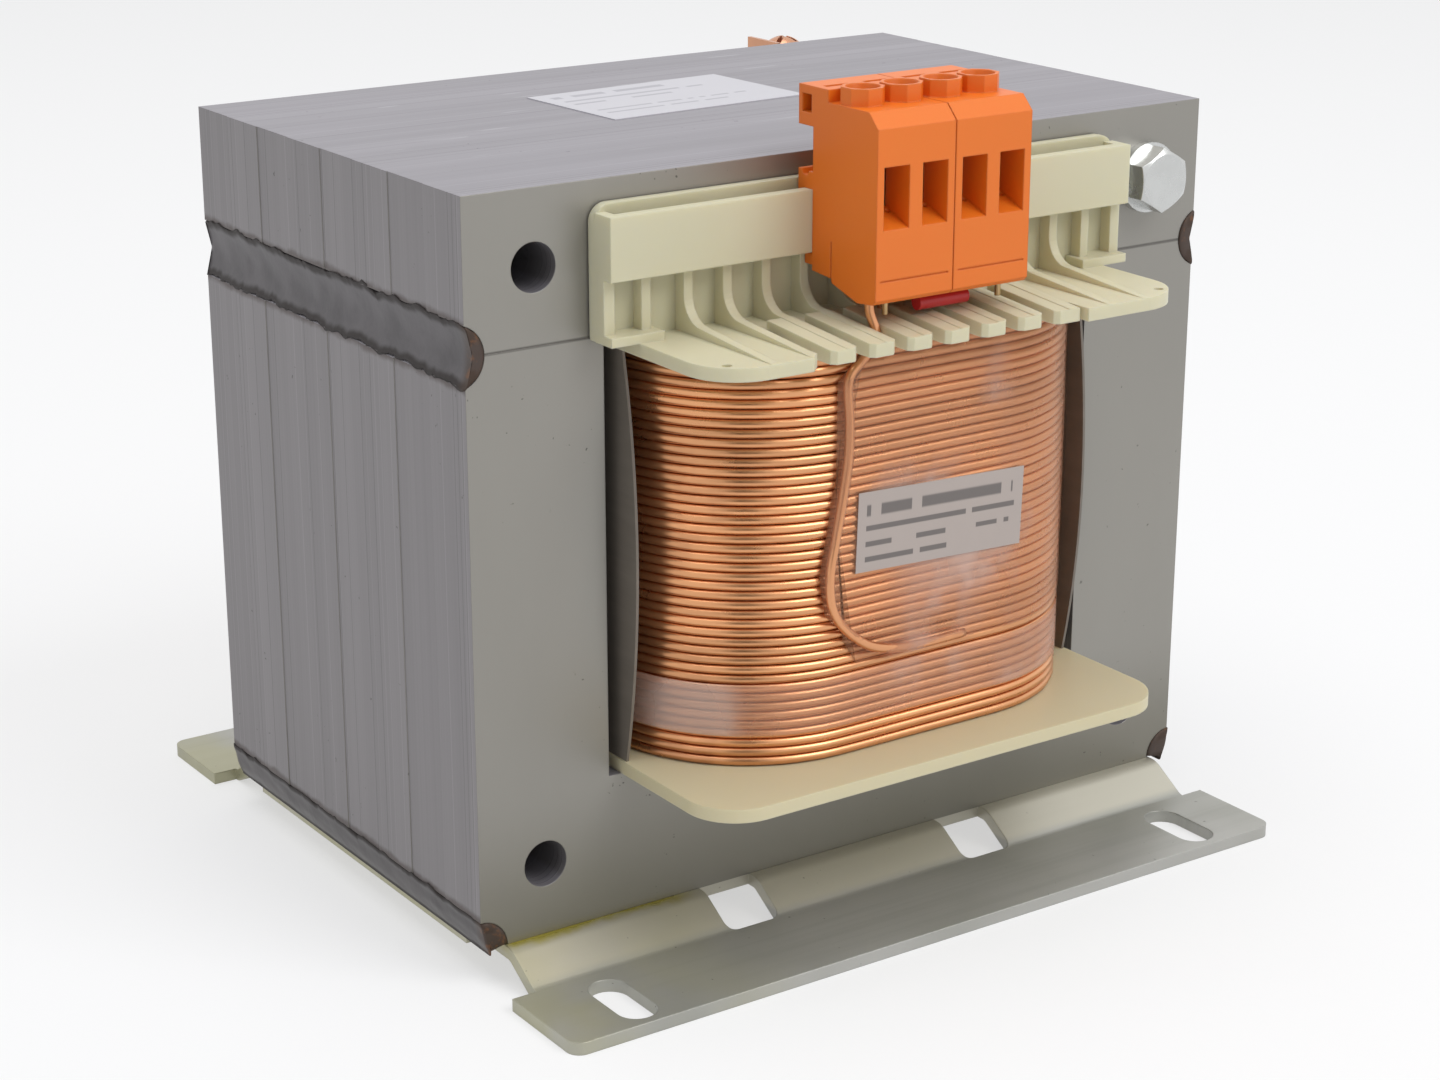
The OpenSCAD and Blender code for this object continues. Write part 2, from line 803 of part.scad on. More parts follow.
module primary_winding() {
    color([0.70, 0.36, 0.18])
        translate([0, 0, winding_z])
            linear_extrude(winding_top_z - winding_z)
                difference() {
                    rounded_rect(primary_x, primary_y, primary_r);
                    square([2 * tube_x, 2 * tube_y], center = true);
                }
}

module interlayer_insulation() {
    color([0.80, 0.74, 0.58])
        translate([0, 0, winding_z])
            linear_extrude(winding_top_z - winding_z)
                ring(insulation_x, insulation_y, primary_r + insulation_t, primary_x, primary_y, primary_r);
}

// Outline of the turns in a plane across the wire, from the axis x = 0 out to x = reach
module turn_outline(reach) {
    turn_r = wire_d / 2 + eps;
    translate([0, winding_z])
        square([reach - turn_r, winding_top_z - winding_z]);
    for (i = [0:turns - 1])
        translate([reach - turn_r, winding_z + turn_r + wire_d * i])
            circle(turn_r, $fn = 24);
}

module turns_body() {
    straight_x = secondary_x - secondary_r;
    straight_y = secondary_y - secondary_r;
    for (x = [-1, 1], y = [-1, 1])
        translate([x * straight_x, y * straight_y, 0])
            rotate([0, 0, (1 - x * y) * 45 + (y < 0 ? 180 : 0)])
                rotate_extrude(angle = 90, $fn = 96)
                    turn_outline(secondary_r);
    for (turn = [0, 180])
        rotate([0, 0, turn]) {
            along_y(-straight_y, straight_y)
                turn_outline(secondary_x);
            rotate([0, 0, 90])
                along_y(-straight_x, straight_x)
                    turn_outline(secondary_y);
        }
}

module secondary_winding() {
    color([0.80, 0.44, 0.22])
        difference() {
            turns_body();
            translate([0, 0, winding_z - over])
                linear_extrude(winding_top_z - winding_z + 2 * over)
                    rounded_rect(insulation_x, insulation_y, primary_r + insulation_t);
        }
}

module film_ring() {
    ring(
        secondary_x + film_t, secondary_y + film_t, secondary_r + film_t,
        secondary_x, secondary_y, secondary_r);
}

module binding_tape() {
    color([0.85, 0.80, 0.75, 0.4])
        translate([0, 0, winding_z + tape_z])
            linear_extrude(tape_w)
                film_ring();
}

module cover_film() {
    color([0.85, 0.82, 0.80, 0.3])
        translate([0, 0, winding_z + cover_z])
            linear_extrude(winding_top_z - winding_z - cover_z)
                intersection() {
                    film_ring();
                    translate([-cover_left, -secondary_y - over])
                        square([cover_left + secondary_x + 2 * over, secondary_y * 1.3]);
                }
}

// Sheet that stands on the lower flange, with bowed edges beyond the core's ends
module window_liner() {
    height = winding_top_z - winding_z;
    bow_r = (pow(height / 2, 2) + pow(liner_bow, 2)) / (2 * liner_bow);
    bow_a = asin(height / 2 / bow_r);
    bow_y = half_d + 1 + liner_bow - bow_r;
    color([0.70, 0.71, 0.70])
        along_x(liner_x - liner_t / 2, liner_x + liner_t / 2)
            translate([0, winding_z + height / 2])
                polygon(concat(
                    arc(bow_y, 0, bow_r, -bow_a, bow_a, 16),
                    arc(-bow_y, 0, bow_r, 180 - bow_a, 180 + bow_a, 16)));
}

module window_liner_left() mirror([1, 0, 0]) window_liner();
module window_liner_right() window_liner();

// ---- terminals ----

function pole_x(i) =
    block_shift + (i < 3 ? -1 : 1) * block_pitch / 2 + (i % 2 == 1 ? -1 : 1) * pole_pitch / 2;

// Y-Z outline of a housing: body, hook over the rail and lip under it
module block_section() {
    bar_h = 2;
    bar_d = 3.9;
    chamfer = 2.4;
    translate([-rail_front, rail_z])
        polygon([
            [0, -2.9], [0, -2], [1.9, -2], [1.9, -0.2], [0, -0.2],
            [0, rail_h], [rail_t + 0.2, rail_h], [rail_t + 0.2, rail_h - 0.4], [bar_d, rail_h - 0.4],
            [bar_d, rail_h + 3], [bar_d - 0.8, rail_h + 3], [bar_d - 1.3, rail_h + 2.1],
            [bar_d - 2.5, rail_h + 2.1], [bar_d - 2.8, rail_h + 2.8], [0, rail_h + 2.8],
            [0, block_h - 4.4], [bar_d, block_h - 4.4], [bar_d, block_h + bar_h],
            [-bar_d, block_h + bar_h], [-bar_d, block_h],
            [chamfer - block_d, block_h], [-block_d, block_h - chamfer],
            [-block_d, 1.1 - block_drop], [0.8 - block_d, 0.4 - block_drop],
            [4.8 - block_d, -block_drop], [-5.4, -4], [-5.1, -3.3]]);
}

module cage_chamber(x) {
    w = cage_w + 2 * cage_gap;
    d = cage_d + 2 * cage_gap;
    translate([x - w / 2, -rail_front - tower_y - d / 2, cage_z])
        cube([w, d, cage_h + cage_gap]);
}

// Funnel from the front face into the clamp chamber
module wire_entry(x) {
    along_x(x - entry_w / 2, x + entry_w / 2)
        translate([-rail_front, rail_z])
            polygon([
                [-block_d - over, entry_sill - 0.2], [-block_d, entry_sill],
                [-tower_y - cage_d / 2, entry_sill + 2.6],
                [-tower_y - cage_d / 2, entry_sill + entry_h - 0.8],
                [-block_d, entry_sill + entry_h], [-block_d - over, entry_sill + entry_h]]);
}

module screw_shaft(x) {
    shaft_z = cage_z + cage_h;
    mouth_z = rail_z + block_h + tower_h;
    translate([x, -rail_front - tower_y, shaft_z])
        cylinder(r = clamp_head_d / 2 + 0.2, h = mouth_z - shaft_z + over);
    translate([x, -rail_front - tower_y, mouth_z - 1.4])
        cylinder(r1 = clamp_head_d / 2 + 0.2, r2 = tower_r - 0.5, h = 1.4 + eps);
}

// Seam lines: upright on both sides, level across the front
module seam_lines(x0) {
    groove_w = 0.25;
    side_d = 0.35;
    front_d = 0.2;
    for (x = [x0 - over, x0 + block_w - side_d])
        translate([x, -rail_front - 5.2, rail_z - block_drop - over])
            cube([side_d + over, groove_w, over + 8.6]);
    translate([x0 + 0.9, -rail_front - block_d - over, rail_z - block_drop + 4])
        cube([block_w - 1.8, over + front_d, groove_w]);
}

module marker_slot(x) {
    translate([x - 2.4, -rail_front - 1.6, rail_z + block_h + 0.6])
        cube([4.8, 1.2, 2]);
}

module terminal_block(side) {
    x0 = block_shift + side * block_pitch / 2 - block_w / 2;
    first = side < 0 ? 1 : 3;
    color([0.93, 0.45, 0.13])
        difference() {
            union() {
                along_x(x0, x0 + block_w)
                    block_section();
                for (i = [first, first + 1])
                    translate([pole_x(i), -rail_front - tower_y, rail_z + block_h - 6])
                        rotate([0, 0, 22.5])
                            cylinder(r = tower_r / cos(22.5), h = 6 + tower_h, $fn = 8);
            }
            for (i = [first, first + 1]) {
                cage_chamber(pole_x(i));
                wire_entry(pole_x(i));
                screw_shaft(pole_x(i));
                marker_slot(pole_x(i));
                translate([pole_x(i) + pin_shift, -pin_y, pin_z - over])
                    cylinder(d = pin_d, h = cage_z - pin_z + 2 * over);
            }
            seam_lines(x0);
            along_x(x0 - over, x0 + block_w + over)
                translate([-rail_front, rail_z + block_h])
                    translate([0.5, -2.3])
                        square([2.5, 2.9]);
        }
}

module terminal_block_left() terminal_block(-1);
module terminal_block_right() terminal_block(1);

// Metal frame round the wire, lifted by its screw
module clamp_cage(i) {
    color([0.75, 0.72, 0.62])
        translate([pole_x(i), -rail_front - tower_y, cage_z])
            difference() {
                translate([-cage_w / 2, -cage_d / 2, 0])
                    cube([cage_w, cage_d, cage_h]);
                translate([-cage_w / 2 + cage_wall, -cage_d, cage_wall])
                    cube([cage_w - 2 * cage_wall, 2 * cage_d, cage_h - 3 * cage_wall]);
                translate([0, 0, cage_h / 2])
                    cylinder(d = clamp_screw_d, h = cage_h);
            }
}

module clamp_screw(i) {
    head_z = cage_z + cage_h + cage_gap;
    color([0.66, 0.64, 0.58])
        translate([pole_x(i), -rail_front - tower_y, head_z])
            difference() {
                union() {
                    cylinder(d = clamp_head_d, h = clamp_head_h);
                    translate([0, 0, -cage_h / 2])
                        cylinder(d = clamp_screw_d, h = cage_h / 2 + eps);
                }
                translate([-clamp_head_d, -0.35, clamp_head_h - 0.9])
                    cube([2 * clamp_head_d, 0.7, over + 0.9]);
            }
}

module solder_pin(i) {
    color([0.80, 0.62, 0.35])
        translate([pole_x(i) + pin_shift, -pin_y, pin_z - pin_l])
            cylinder(d = pin_d, h = cage_z - pin_z + pin_l);
}

// Insulating sleeve pushed over the two middle pins
module red_sleeve() {
    x0 = pole_x(2) + pin_shift - 1.3;
    x1 = pole_x(3) + pin_shift + 0.8;
    r = 1.2;
    color([0.82, 0.16, 0.18])
        difference() {
            along_x(x0, x1)
                translate([-pin_y, pin_z - 0.4 - r])
                    circle(r);
            for (i = [2, 3])
                translate([pole_x(i) + pin_shift, -pin_y, pin_z - 2 * pin_l])
                    cylinder(d = pin_d, h = 2 * pin_l + over);
        }
}

// ---- lead wires ----

// Height at a share of the winding's height
function winding_height(share) = winding_z + share * (winding_top_z - winding_z);

// Route of the first lead over the winding: sideways position and share of its height
lead_loop = [
    [-11.6, 1.03], [-11.8, 1], [-14.2, 0.966], [-16.8, 0.923], [-16.5, 0.83], [-16.6, 0.744], [-17.5, 0.659],
    [-18.7, 0.566], [-20, 0.455], [-18.8, 0.362], [-13.6, 0.285], [-8.2, 0.252], [-0.5, 0.238], [9, 0.236]];

module lead_wire_1() {
    start = [pole_x(1) - 1.4, -pin_y, pin_z];
    color([0.83, 0.47, 0.24])
        wire(concat(
            [start, start - [0, 0.2, 2]],
            [for (p = lead_loop) [p.x, -lead_y, winding_height(p.y)]]), wire_d, steps = 2);
}

// Short lead from under a pole through its comb slot to the top turn
module short_lead(i) {
    y = half_d + comb_root + comb_w / 2 + 1;
    start_y = rail_front + 7.4;
    slot_x = comb_x(i + floor(comb_count / 2) - 2);
    color([0.83, 0.47, 0.24])
        wire([
            [pole_x(i), -start_y, pin_z + 0.9], [pole_x(i), -start_y, pin_z - 0.6],
            [slot_x, -y, flange_top_z + 1.6], [slot_x, -y, winding_top_z + eps]], wire_d);
}

module lead_wire_2() short_lead(2);
module lead_wire_3() short_lead(3);
module lead_wire_4() short_lead(4);

// ---- earth connection ----

module bolt_washer(y) {
    translate([bolt_x, y + washer_t, bolt_z])
        rotate([90, 0, 0])
            difference() {
                cylinder(d = washer_d, h = washer_t);
                translate([0, 0, -over])
                    cylinder(d = bolt_d + 0.4, h = washer_t + 2 * over);
            }
}

bolt_seat = half_d + bracket_t;
bolt_end = bolt_seat + washer_t + bolt_nut_h + 1;

// Hexagon with its upper corners turned off at 30 degrees, along Z
module hexagon_head(across_flats, height) {
    face_r = across_flats * 0.47;
    intersection() {
        linear_extrude(height)
            hexagon(across_flats);
        translate([0, 0, -over])
            cylinder(r1 = face_r + (height + over) / tan(30), r2 = face_r, h = height + over);
    }
}

module earth_bolt() {
    head_y = half_d + washer_t;
    color([0.78, 0.78, 0.76])
        translate([bolt_x, 0, bolt_z]) {
            translate([0, -head_y, 0])
                rotate([90, 30, 0])
                    hexagon_head(bolt_af, bolt_head_h);
            translate([0, bolt_end, 0])
                rotate([90, 0, 0])
                    cylinder(d = bolt_d, h = bolt_end + head_y + eps);
        }
}

module bolt_nut() {
    color([0.78, 0.78, 0.76])
        translate([bolt_x, bolt_seat + washer_t, bolt_z])
            rotate([-90, 30, 0])
                difference() {
                    hexagon_head(bolt_af, bolt_nut_h);
                    translate([0, 0, -over])
                        cylinder(d = bolt_d, h = bolt_nut_h + 2 * over);
                }
}

module bolt_washer_front() color([0.75, 0.75, 0.73]) bolt_washer(-half_d - washer_t);
module bolt_washer_rear() color([0.75, 0.75, 0.73]) bolt_washer(bolt_seat);

// Angle under the rear washer, with a tab behind the core's top
module earth_bracket() {
    low_z = bolt_z - washer_d / 2 - 1;
    inner = 1;
    outer = inner + bracket_t;
    color([0.72, 0.72, 0.68])
        difference() {
            along_x(rail_w / 2 + bracket_gap, bolt_x + bracket_side)
                polygon(concat(
                    [[half_d, low_z], [half_d + bracket_t, low_z]],
                    arc(half_d + outer, bracket_z - outer, inner, 180, 90, 8),
                    [[half_d + bracket_l, bracket_z - bracket_t], [half_d + bracket_l, bracket_z]],
                    arc(half_d + outer, bracket_z - outer, outer, 90, 180, 8)));
            translate([bolt_x, half_d + bracket_t + over, bolt_z])
                rotate([90, 0, 0])
                    cylinder(d = bolt_d + 0.4, h = bracket_t + 2 * over);
            translate([screw_x, screw_y, bracket_z - bracket_t - over])
                cylinder(d = earth_screw_d + 0.4, h = bracket_t + 2 * over);
        }
}

// Square washer with its left edge turned up
module earth_clamp_washer() {
    half = earth_head_d / 2 + 1.2;
    lug_h = 3.4;
    color([0.80, 0.52, 0.36])
        difference() {
            translate([screw_x, screw_y, bracket_z]) {
                translate([-half, -half, 0])
                    cube([2 * half, 2 * half, clamp_washer_t]);
                translate([-half, -half, 0])
                    cube([clamp_washer_t, 2 * half, lug_h]);
            }
            translate([screw_x, screw_y, bracket_z - over])
                cylinder(d = earth_screw_d + 0.3, h = clamp_washer_t + 2 * over);
        }
}

module earth_screw() {
    head_z = bracket_z + clamp_washer_t;
    rim_h = 1;
    dome_h = earth_head_h - rim_h;
    dome_r = (pow(earth_head_d / 2, 2) + pow(dome_h, 2)) / (2 * dome_h);
    shank = clamp_washer_t + bracket_t + earth_nut_h + 0.8;
    color([0.82, 0.50, 0.34])
        translate([screw_x, screw_y, head_z])
            difference() {
                union() {
                    cylinder(d = earth_head_d, h = rim_h);
                    intersection() {
                        translate([0, 0, earth_head_h - dome_r])
                            sphere(dome_r);
                        translate([0, 0, rim_h - eps])
                            cylinder(d = earth_head_d, h = earth_head_h);
                    }
                    translate([0, 0, -shank])
                        cylinder(d = earth_screw_d, h = shank + eps);
                }
                for (turn = [35, 125])
                    rotate([0, 0, turn])
                        translate([-earth_head_d * 0.36, -0.5, earth_head_h - 1.6])
                            cube([earth_head_d * 0.72, 1, 2]);
            }
}

module earth_screw_nut() {
    color([0.75, 0.75, 0.73])
        translate([screw_x, screw_y, bracket_z - bracket_t - earth_nut_h])
            linear_extrude(earth_nut_h)
                difference() {
                    hexagon(earth_screw_d * 1.75);
                    circle(d = earth_screw_d);
                }
}

// ---- labels ----

module top_label() {
    color([0.93, 0.92, 0.94])
        translate([top_label_x, top_label_y, top_z])
            rotate([0, 0, 3])
                linear_extrude(label_t)
                    square([top_label_l, top_label_w], center = true);
}

module coil_label() {
    color([0.92, 0.90, 0.90])
        translate([coil_label_x, -secondary_y - film_t, winding_height(coil_label_share)])
            rotate([90, 2, 0])
                linear_extrude(label_t)
                    square([coil_label_l, coil_label_w], center = true);
}

e_lamination_stack();
i_lamination_stack();
seam_weld_left();
seam_weld_right();
base_weld_left();
base_weld_right();
base_plate();
bobbin();
primary_winding();
interlayer_insulation();
secondary_winding();
binding_tape();
cover_film();
window_liner_left();
window_liner_right();
terminal_block_left();
terminal_block_right();
red_sleeve();
for (i = [1:4]) clamp_cage(i);
for (i = [1:4]) clamp_screw(i);
for (i = [1:4]) solder_pin(i);
lead_wire_1();
lead_wire_2();
lead_wire_3();
lead_wire_4();
earth_bolt();
bolt_washer_front();
bolt_washer_rear();
bolt_nut();
earth_bracket();
earth_screw();
earth_screw_nut();
earth_clamp_washer();
top_label();
coil_label();
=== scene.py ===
import math

import bmesh
import bpy
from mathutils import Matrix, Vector, noise


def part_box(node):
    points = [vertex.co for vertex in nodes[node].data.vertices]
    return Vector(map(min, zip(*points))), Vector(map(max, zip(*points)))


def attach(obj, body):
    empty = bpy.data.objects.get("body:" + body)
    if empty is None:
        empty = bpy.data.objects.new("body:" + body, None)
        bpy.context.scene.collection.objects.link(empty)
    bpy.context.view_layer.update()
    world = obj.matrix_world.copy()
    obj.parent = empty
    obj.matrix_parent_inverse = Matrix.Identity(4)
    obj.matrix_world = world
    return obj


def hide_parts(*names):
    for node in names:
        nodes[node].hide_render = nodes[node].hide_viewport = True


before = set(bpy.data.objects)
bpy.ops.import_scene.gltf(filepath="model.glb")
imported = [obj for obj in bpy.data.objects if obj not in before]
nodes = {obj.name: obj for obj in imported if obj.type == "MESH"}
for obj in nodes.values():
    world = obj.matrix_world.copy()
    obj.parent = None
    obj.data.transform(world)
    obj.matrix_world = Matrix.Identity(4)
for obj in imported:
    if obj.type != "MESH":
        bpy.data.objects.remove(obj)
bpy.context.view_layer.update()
MM = 0.001

# Sizes that the finishes and the pieces share
SHEET = 0.5 * MM
PACKETS = 8
WIRE = 1.6 * MM
TURNS = 43
COIL_CORNER = 28.0 * MM


# ---------------------------------------------------------------- node graphs

class Value:
    """A socket of a graph: arithmetic on it adds Math nodes."""

    def __init__(self, graph, socket):
        self.graph = graph
        self.socket = socket

    def maths(self, operation, *others):
        return self.graph.node("ShaderNodeMath", {"operation": operation}, [self, *others])

    def __add__(self, other):
        return self.maths("ADD", other)

    def __radd__(self, other):
        return self.maths("ADD", other)

    def __sub__(self, other):
        return self.maths("SUBTRACT", other)

    def __rsub__(self, other):
        return self.graph.node("ShaderNodeMath", {"operation": "SUBTRACT"}, [other, self])

    def __mul__(self, other):
        return self.maths("MULTIPLY", other)

    def __truediv__(self, other):
        return self.maths("DIVIDE", other)

    def __abs__(self):
        return self.maths("ABSOLUTE")

    def __pow__(self, power):
        return self.maths("POWER", power)

    def floor(self):
        return self.maths("FLOOR")

    def above(self, limit):
        return self.maths("GREATER_THAN", limit)

    def sine(self):
        return self.maths("SINE")

    def most(self, other):
        return self.maths("MAXIMUM", other)

    def ramp(self, low, high, to_low=0.0, to_high=1.0):
        """Smooth step from to_low at low to to_high at high."""
        return self.graph.node(
            "ShaderNodeMapRange", {"interpolation_type": "SMOOTHSTEP"},
            {"Value": self, "From Min": low, "From Max": high, "To Min": to_low, "To Max": to_high})


class Graph:
    """A node tree, with one method for every node."""

    def __init__(self, tree):
        self.tree = tree

    def node(self, kind, settings=None, inputs=None, out=0):
        """Adds a node: its settings first, then the values or links of its sockets."""
        made = self.tree.nodes.new(kind)
        for name, value in (settings or {}).items():
            setattr(made, name, value)
        pairs = inputs.items() if isinstance(inputs, dict) else enumerate(inputs or [])
        for name, value in pairs:
            self.plug(made.inputs[name], value)
        return Value(self, made.outputs[out])

    def plug(self, socket, value):
        if isinstance(value, Value):
            self.tree.links.new(value.socket, socket)
        elif isinstance(value, (tuple, list)) and len(value) == 3 and socket.type == "RGBA":
            socket.default_value = (*value, 1.0)
        else:
            socket.default_value = value

    def split(self, vector):
        parts = self.node("ShaderNodeSeparateXYZ", None, [vector])
        outputs = parts.socket.node.outputs
        return [Value(self, outputs[i]) for i in range(3)]

    def join(self, x, y, z):
        return self.node("ShaderNodeCombineXYZ", None, [x, y, z])


class Finish(Graph):
    """One material: a Principled shader and the patterns that feed it."""

    def __init__(self, name, **constants):
        self.material = bpy.data.materials.new(name)
        self.material.use_nodes = True
        super().__init__(self.material.node_tree)
        self.tree.nodes.clear()
        self.output = self.tree.nodes.new("ShaderNodeOutputMaterial")
        self.shader = self.tree.nodes.new("ShaderNodeBsdfPrincipled")
        self.tree.links.new(self.shader.outputs[0], self.output.inputs["Surface"])
        for name, value in constants.items():
            self.set(name.replace("_", " "), value)
        self.place = self.node("ShaderNodeTexCoord", out="Object")
        self.x, self.y, self.z = self.split(self.place)

    def set(self, name, value):
        """Sets a socket of the Principled shader, to a constant or a pattern."""
        match = next(s for s in self.shader.inputs if s.name.lower() == name.lower())
        self.plug(match, value)

    def noise(self, scale, detail=2.0, roughness=0.5, stretch=None):
        """Soft noise from 0 to 1. Scale is in features for each metre, stretch a factor for each axis."""
        where = self.place
        if stretch:
            where = self.node("ShaderNodeMapping", None, {"Vector": self.place, "Scale": stretch})
        return self.node(
            "ShaderNodeTexNoise", None,
            {"Vector": where, "Scale": scale, "Detail": detail, "Roughness": roughness})

    def step_noise(self, position, seed=0.0):
        """A random number from 0 to 1 for each whole step of position."""
        return self.node(
            "ShaderNodeTexWhiteNoise", {"noise_dimensions": "2D"},
            {"Vector": self.join(position.floor(), seed, 0.0)})

    def hairline(self, position, share, width, seed):
        """Thin lines in a share of the steps of position, each a width of its step."""
        inside = position - position.floor()
        chosen = self.step_noise(position, seed).above(1.0 - share)
        return chosen * abs(inside - 0.5).ramp(width, 0.3 * width)

    def mix(self, mask, first, second, blend="MIX"):
        """Colour that goes from first to second with the mask."""
        made = self.tree.nodes.new("ShaderNodeMix")
        made.data_type = "RGBA"
        made.blend_type = blend
        self.plug(made.inputs["Factor"], mask)
        self.plug(made.inputs[6], first)
        self.plug(made.inputs[7], second)
        return Value(self, made.outputs[2])

    def shade(self, colour, tone):
        """Colour made lighter or darker by a pattern round 1."""
        return self.mix(1.0, colour, self.join(tone, tone, tone), "MULTIPLY")

    def faces(self):
        """Masks of the faces that look along X, Y and Z."""
        normal = self.node("ShaderNodeNewGeometry", out="Normal")
        return [abs(part).ramp(0.6, 0.8) for part in self.split(normal)]

    def relief(self, height, distance, strength=1.0, edge=0.0):
        """Bump from a height pattern, in metres of distance, over edges rounded by edge metres."""
        inputs = {"Height": height, "Distance": distance, "Strength": strength}
        if edge:
            inputs["Normal"] = self.node("ShaderNodeBevel", {"samples": 4}, {"Radius": edge})
        self.set("Normal", self.node("ShaderNodeBump", None, inputs))


class Shape(Graph):
    """A Geometry Nodes tree with named sizes, made into a plain mesh."""

    def __init__(self, name, sizes):
        super().__init__(bpy.data.node_groups.new(name, "GeometryNodeTree"))
        self.sizes = sizes
        for label, value in sizes.items():
            kind = "NodeSocketInt" if isinstance(value, int) else "NodeSocketFloat"
            self.tree.interface.new_socket(label, in_out="INPUT", socket_type=kind)
        self.tree.interface.new_socket("Geometry", in_out="OUTPUT", socket_type="NodeSocketGeometry")
        self.entry = self.tree.nodes.new("NodeGroupInput")
        self.exit = self.tree.nodes.new("NodeGroupOutput")

    def size(self, label):
        return Value(self, self.entry.outputs[label])

    def piece(self, name, geometry, material):
        """Realizes and colours the geometry, and gives back a plain mesh object."""
        real = self.node("GeometryNodeRealizeInstances", None, [geometry])
        smooth = self.node("GeometryNodeSetShadeSmooth", None, {"Geometry": real})
        coloured = self.node("GeometryNodeSetMaterial", None, {"Geometry": smooth, "Material": material})
        self.plug(self.exit.inputs[0], coloured)
        holder = bpy.data.objects.new(name + "_holder", bpy.data.meshes.new(name + "_holder"))
        bpy.context.collection.objects.link(holder)
        modifier = holder.modifiers.new(name, "NODES")
        modifier.node_group = self.tree
        for item in self.tree.interface.items_tree:
            if item.in_out == "INPUT":
                modifier[item.identifier] = self.sizes[item.name]
        evaluated = holder.evaluated_get(bpy.context.evaluated_depsgraph_get())
        mesh = bpy.data.meshes.new_from_object(evaluated)
        bpy.data.objects.remove(holder)
        made = bpy.data.objects.new(name, mesh)
        bpy.context.collection.objects.link(made)
        return made


# ---------------------------------------------------------------- finishes

def tinted(colour, *factors):
    """Colour times one factor, or times one for each channel."""
    if len(factors) == 1:
        factors = factors * 3
    return tuple(part * factor for part, factor in zip(colour, factors))


def core_finish(name, base, packet_depth, seam_z, weld_low):
    """Pressed electrical sheets: packets and single sheets show at the sides and the top."""
    f = Finish(name, metallic=0.55, roughness=0.42)
    side, front, top = f.faces()
    cut_edge = 1.0 - front
    packet = f.step_noise(f.y / packet_depth + 40.0, 3.0)
    bundle = f.step_noise(f.y / (2.6 * MM) + 90.0, 5.0)
    sheet = f.step_noise(f.y / SHEET + 400.0, 7.0)
    run = f.noise(60.0, 4.0, 0.6, (0.2, 3.0, 0.05))
    shade = 0.76 + packet * 0.10 + bundle * 0.06 + sheet * 0.03 + run * 0.28
    dark_line = f.hairline(f.y / (1.3 * MM) + 70.0, 0.14, 0.12, 11.0)
    pale_line = f.hairline(f.y / (1.7 * MM) + 33.0, 0.16, 0.10, 23.0)
    shade = shade - dark_line * (0.16 + run * 0.2) + pale_line * 0.16
    rolled = f.noise(30.0, 5.0, 0.6, (1.0, 1.0, 0.25))
    cloud = f.noise(14.0, 2.0, 0.5)
    tone = front * (0.86 + rolled * 0.16 + cloud * 0.12) + cut_edge * shade
    # painted light: the top face gets a lighter, bluer steel colour than the sides, as light from above
    # would show it
    steel = f.mix(top, base, tinted(base, 1.21, 1.22, 1.30))
    steel = f.mix(front, steel, tinted(base, 1.22, 1.24, 1.10))
    steel = f.shade(steel, tone)
    # varnish that ran down, low on the front
    low = f.z.ramp(weld_low + 26.0 * MM, weld_low + 2.0 * MM) * front
    steel = f.mix(low * (0.25 + cloud * 0.45), steel, (0.15, 0.14, 0.10))
    # the joint between the two stacks
    seam = abs(f.z - seam_z).ramp(0.4 * MM, 0.12 * MM) * front
    steel = f.mix(seam * 0.6, steel, (0.05, 0.045, 0.04))
    # heat tint beside the seam weld and the lower weld
    ragged = f.noise(200.0, 3.0, 0.6) * (2.2 * MM)
    seam_far = abs(f.z - seam_z) - ragged
    low_far = abs(f.z - weld_low) - ragged
    tint = seam_far.ramp(5.2 * MM, 4.0 * MM).most(low_far.ramp(5.4 * MM, 4.2 * MM)) * side
    steel = f.mix(tint * 0.7, steel, (0.075, 0.055, 0.048))
    # specks of rust and dirt, and short scratches on the top
    specks = f.noise(900.0, 2.0, 0.5).ramp(0.73, 0.77) * f.noise(40.0).ramp(0.48, 0.6)
    steel = f.mix(specks * 0.7, steel, (0.035, 0.030, 0.028))
    scratch = f.noise(260.0, 1.0, 0.4, (0.25, 1.6, 1.0)).ramp(0.70, 0.74)
    scratch = scratch * f.noise(25.0).ramp(0.5, 0.62)
    steel = f.mix(scratch * top * 0.5, steel, (0.50, 0.49, 0.52))
    f.set("Base Color", steel)
    f.set("Roughness", 0.36 + run * 0.10 + cut_edge * 0.08)
    groove = (f.y * (math.pi / SHEET)).sine()
    height = groove * cut_edge * 0.3 - dark_line * 2.0 * cut_edge + rolled * 0.3
    f.relief(height, 0.02 * MM, 0.5, 0.25 * MM)
    return f.material


def bead_finish(name, front_y, hue):
    """Oxidised bead: dark at its ragged edges, rusty where it ends. U goes across it, V along it."""
    f = Finish(name, metallic=0.45, roughness=0.4)
    across, along, _ = f.split(f.node("ShaderNodeUVMap", {"uv_map": "bead"}))
    from_middle = abs(across - 0.5) * 2.0
    patch = f.noise(160.0, 4.0, 0.6)
    colour = f.mix(patch.ramp(0.3, 0.7), tinted(hue, 0.85), tinted(hue, 1.2))
    edge = (from_middle + (patch - 0.5) * 0.24).ramp(0.66, 0.88)
    colour = f.mix(edge * 0.9, colour, (0.024, 0.018, 0.016))
    end = along.ramp(front_y + 3.0 * MM, front_y - 0.1 * MM)
    colour = f.mix(end * (0.45 + patch * 0.8), colour, (0.066, 0.042, 0.030))
    rust = f.noise(420.0, 3.0, 0.6).ramp(0.54, 0.66)
    colour = f.mix(rust * end * 0.6, colour, (0.20, 0.085, 0.035))
    f.set("Base Color", colour)
    f.set("Roughness", 0.30 + patch * 0.22 + edge * 0.15)
    f.relief(patch + f.noise(700.0, 3.0) * 0.4, 0.12 * MM, 0.7)
    return f.material


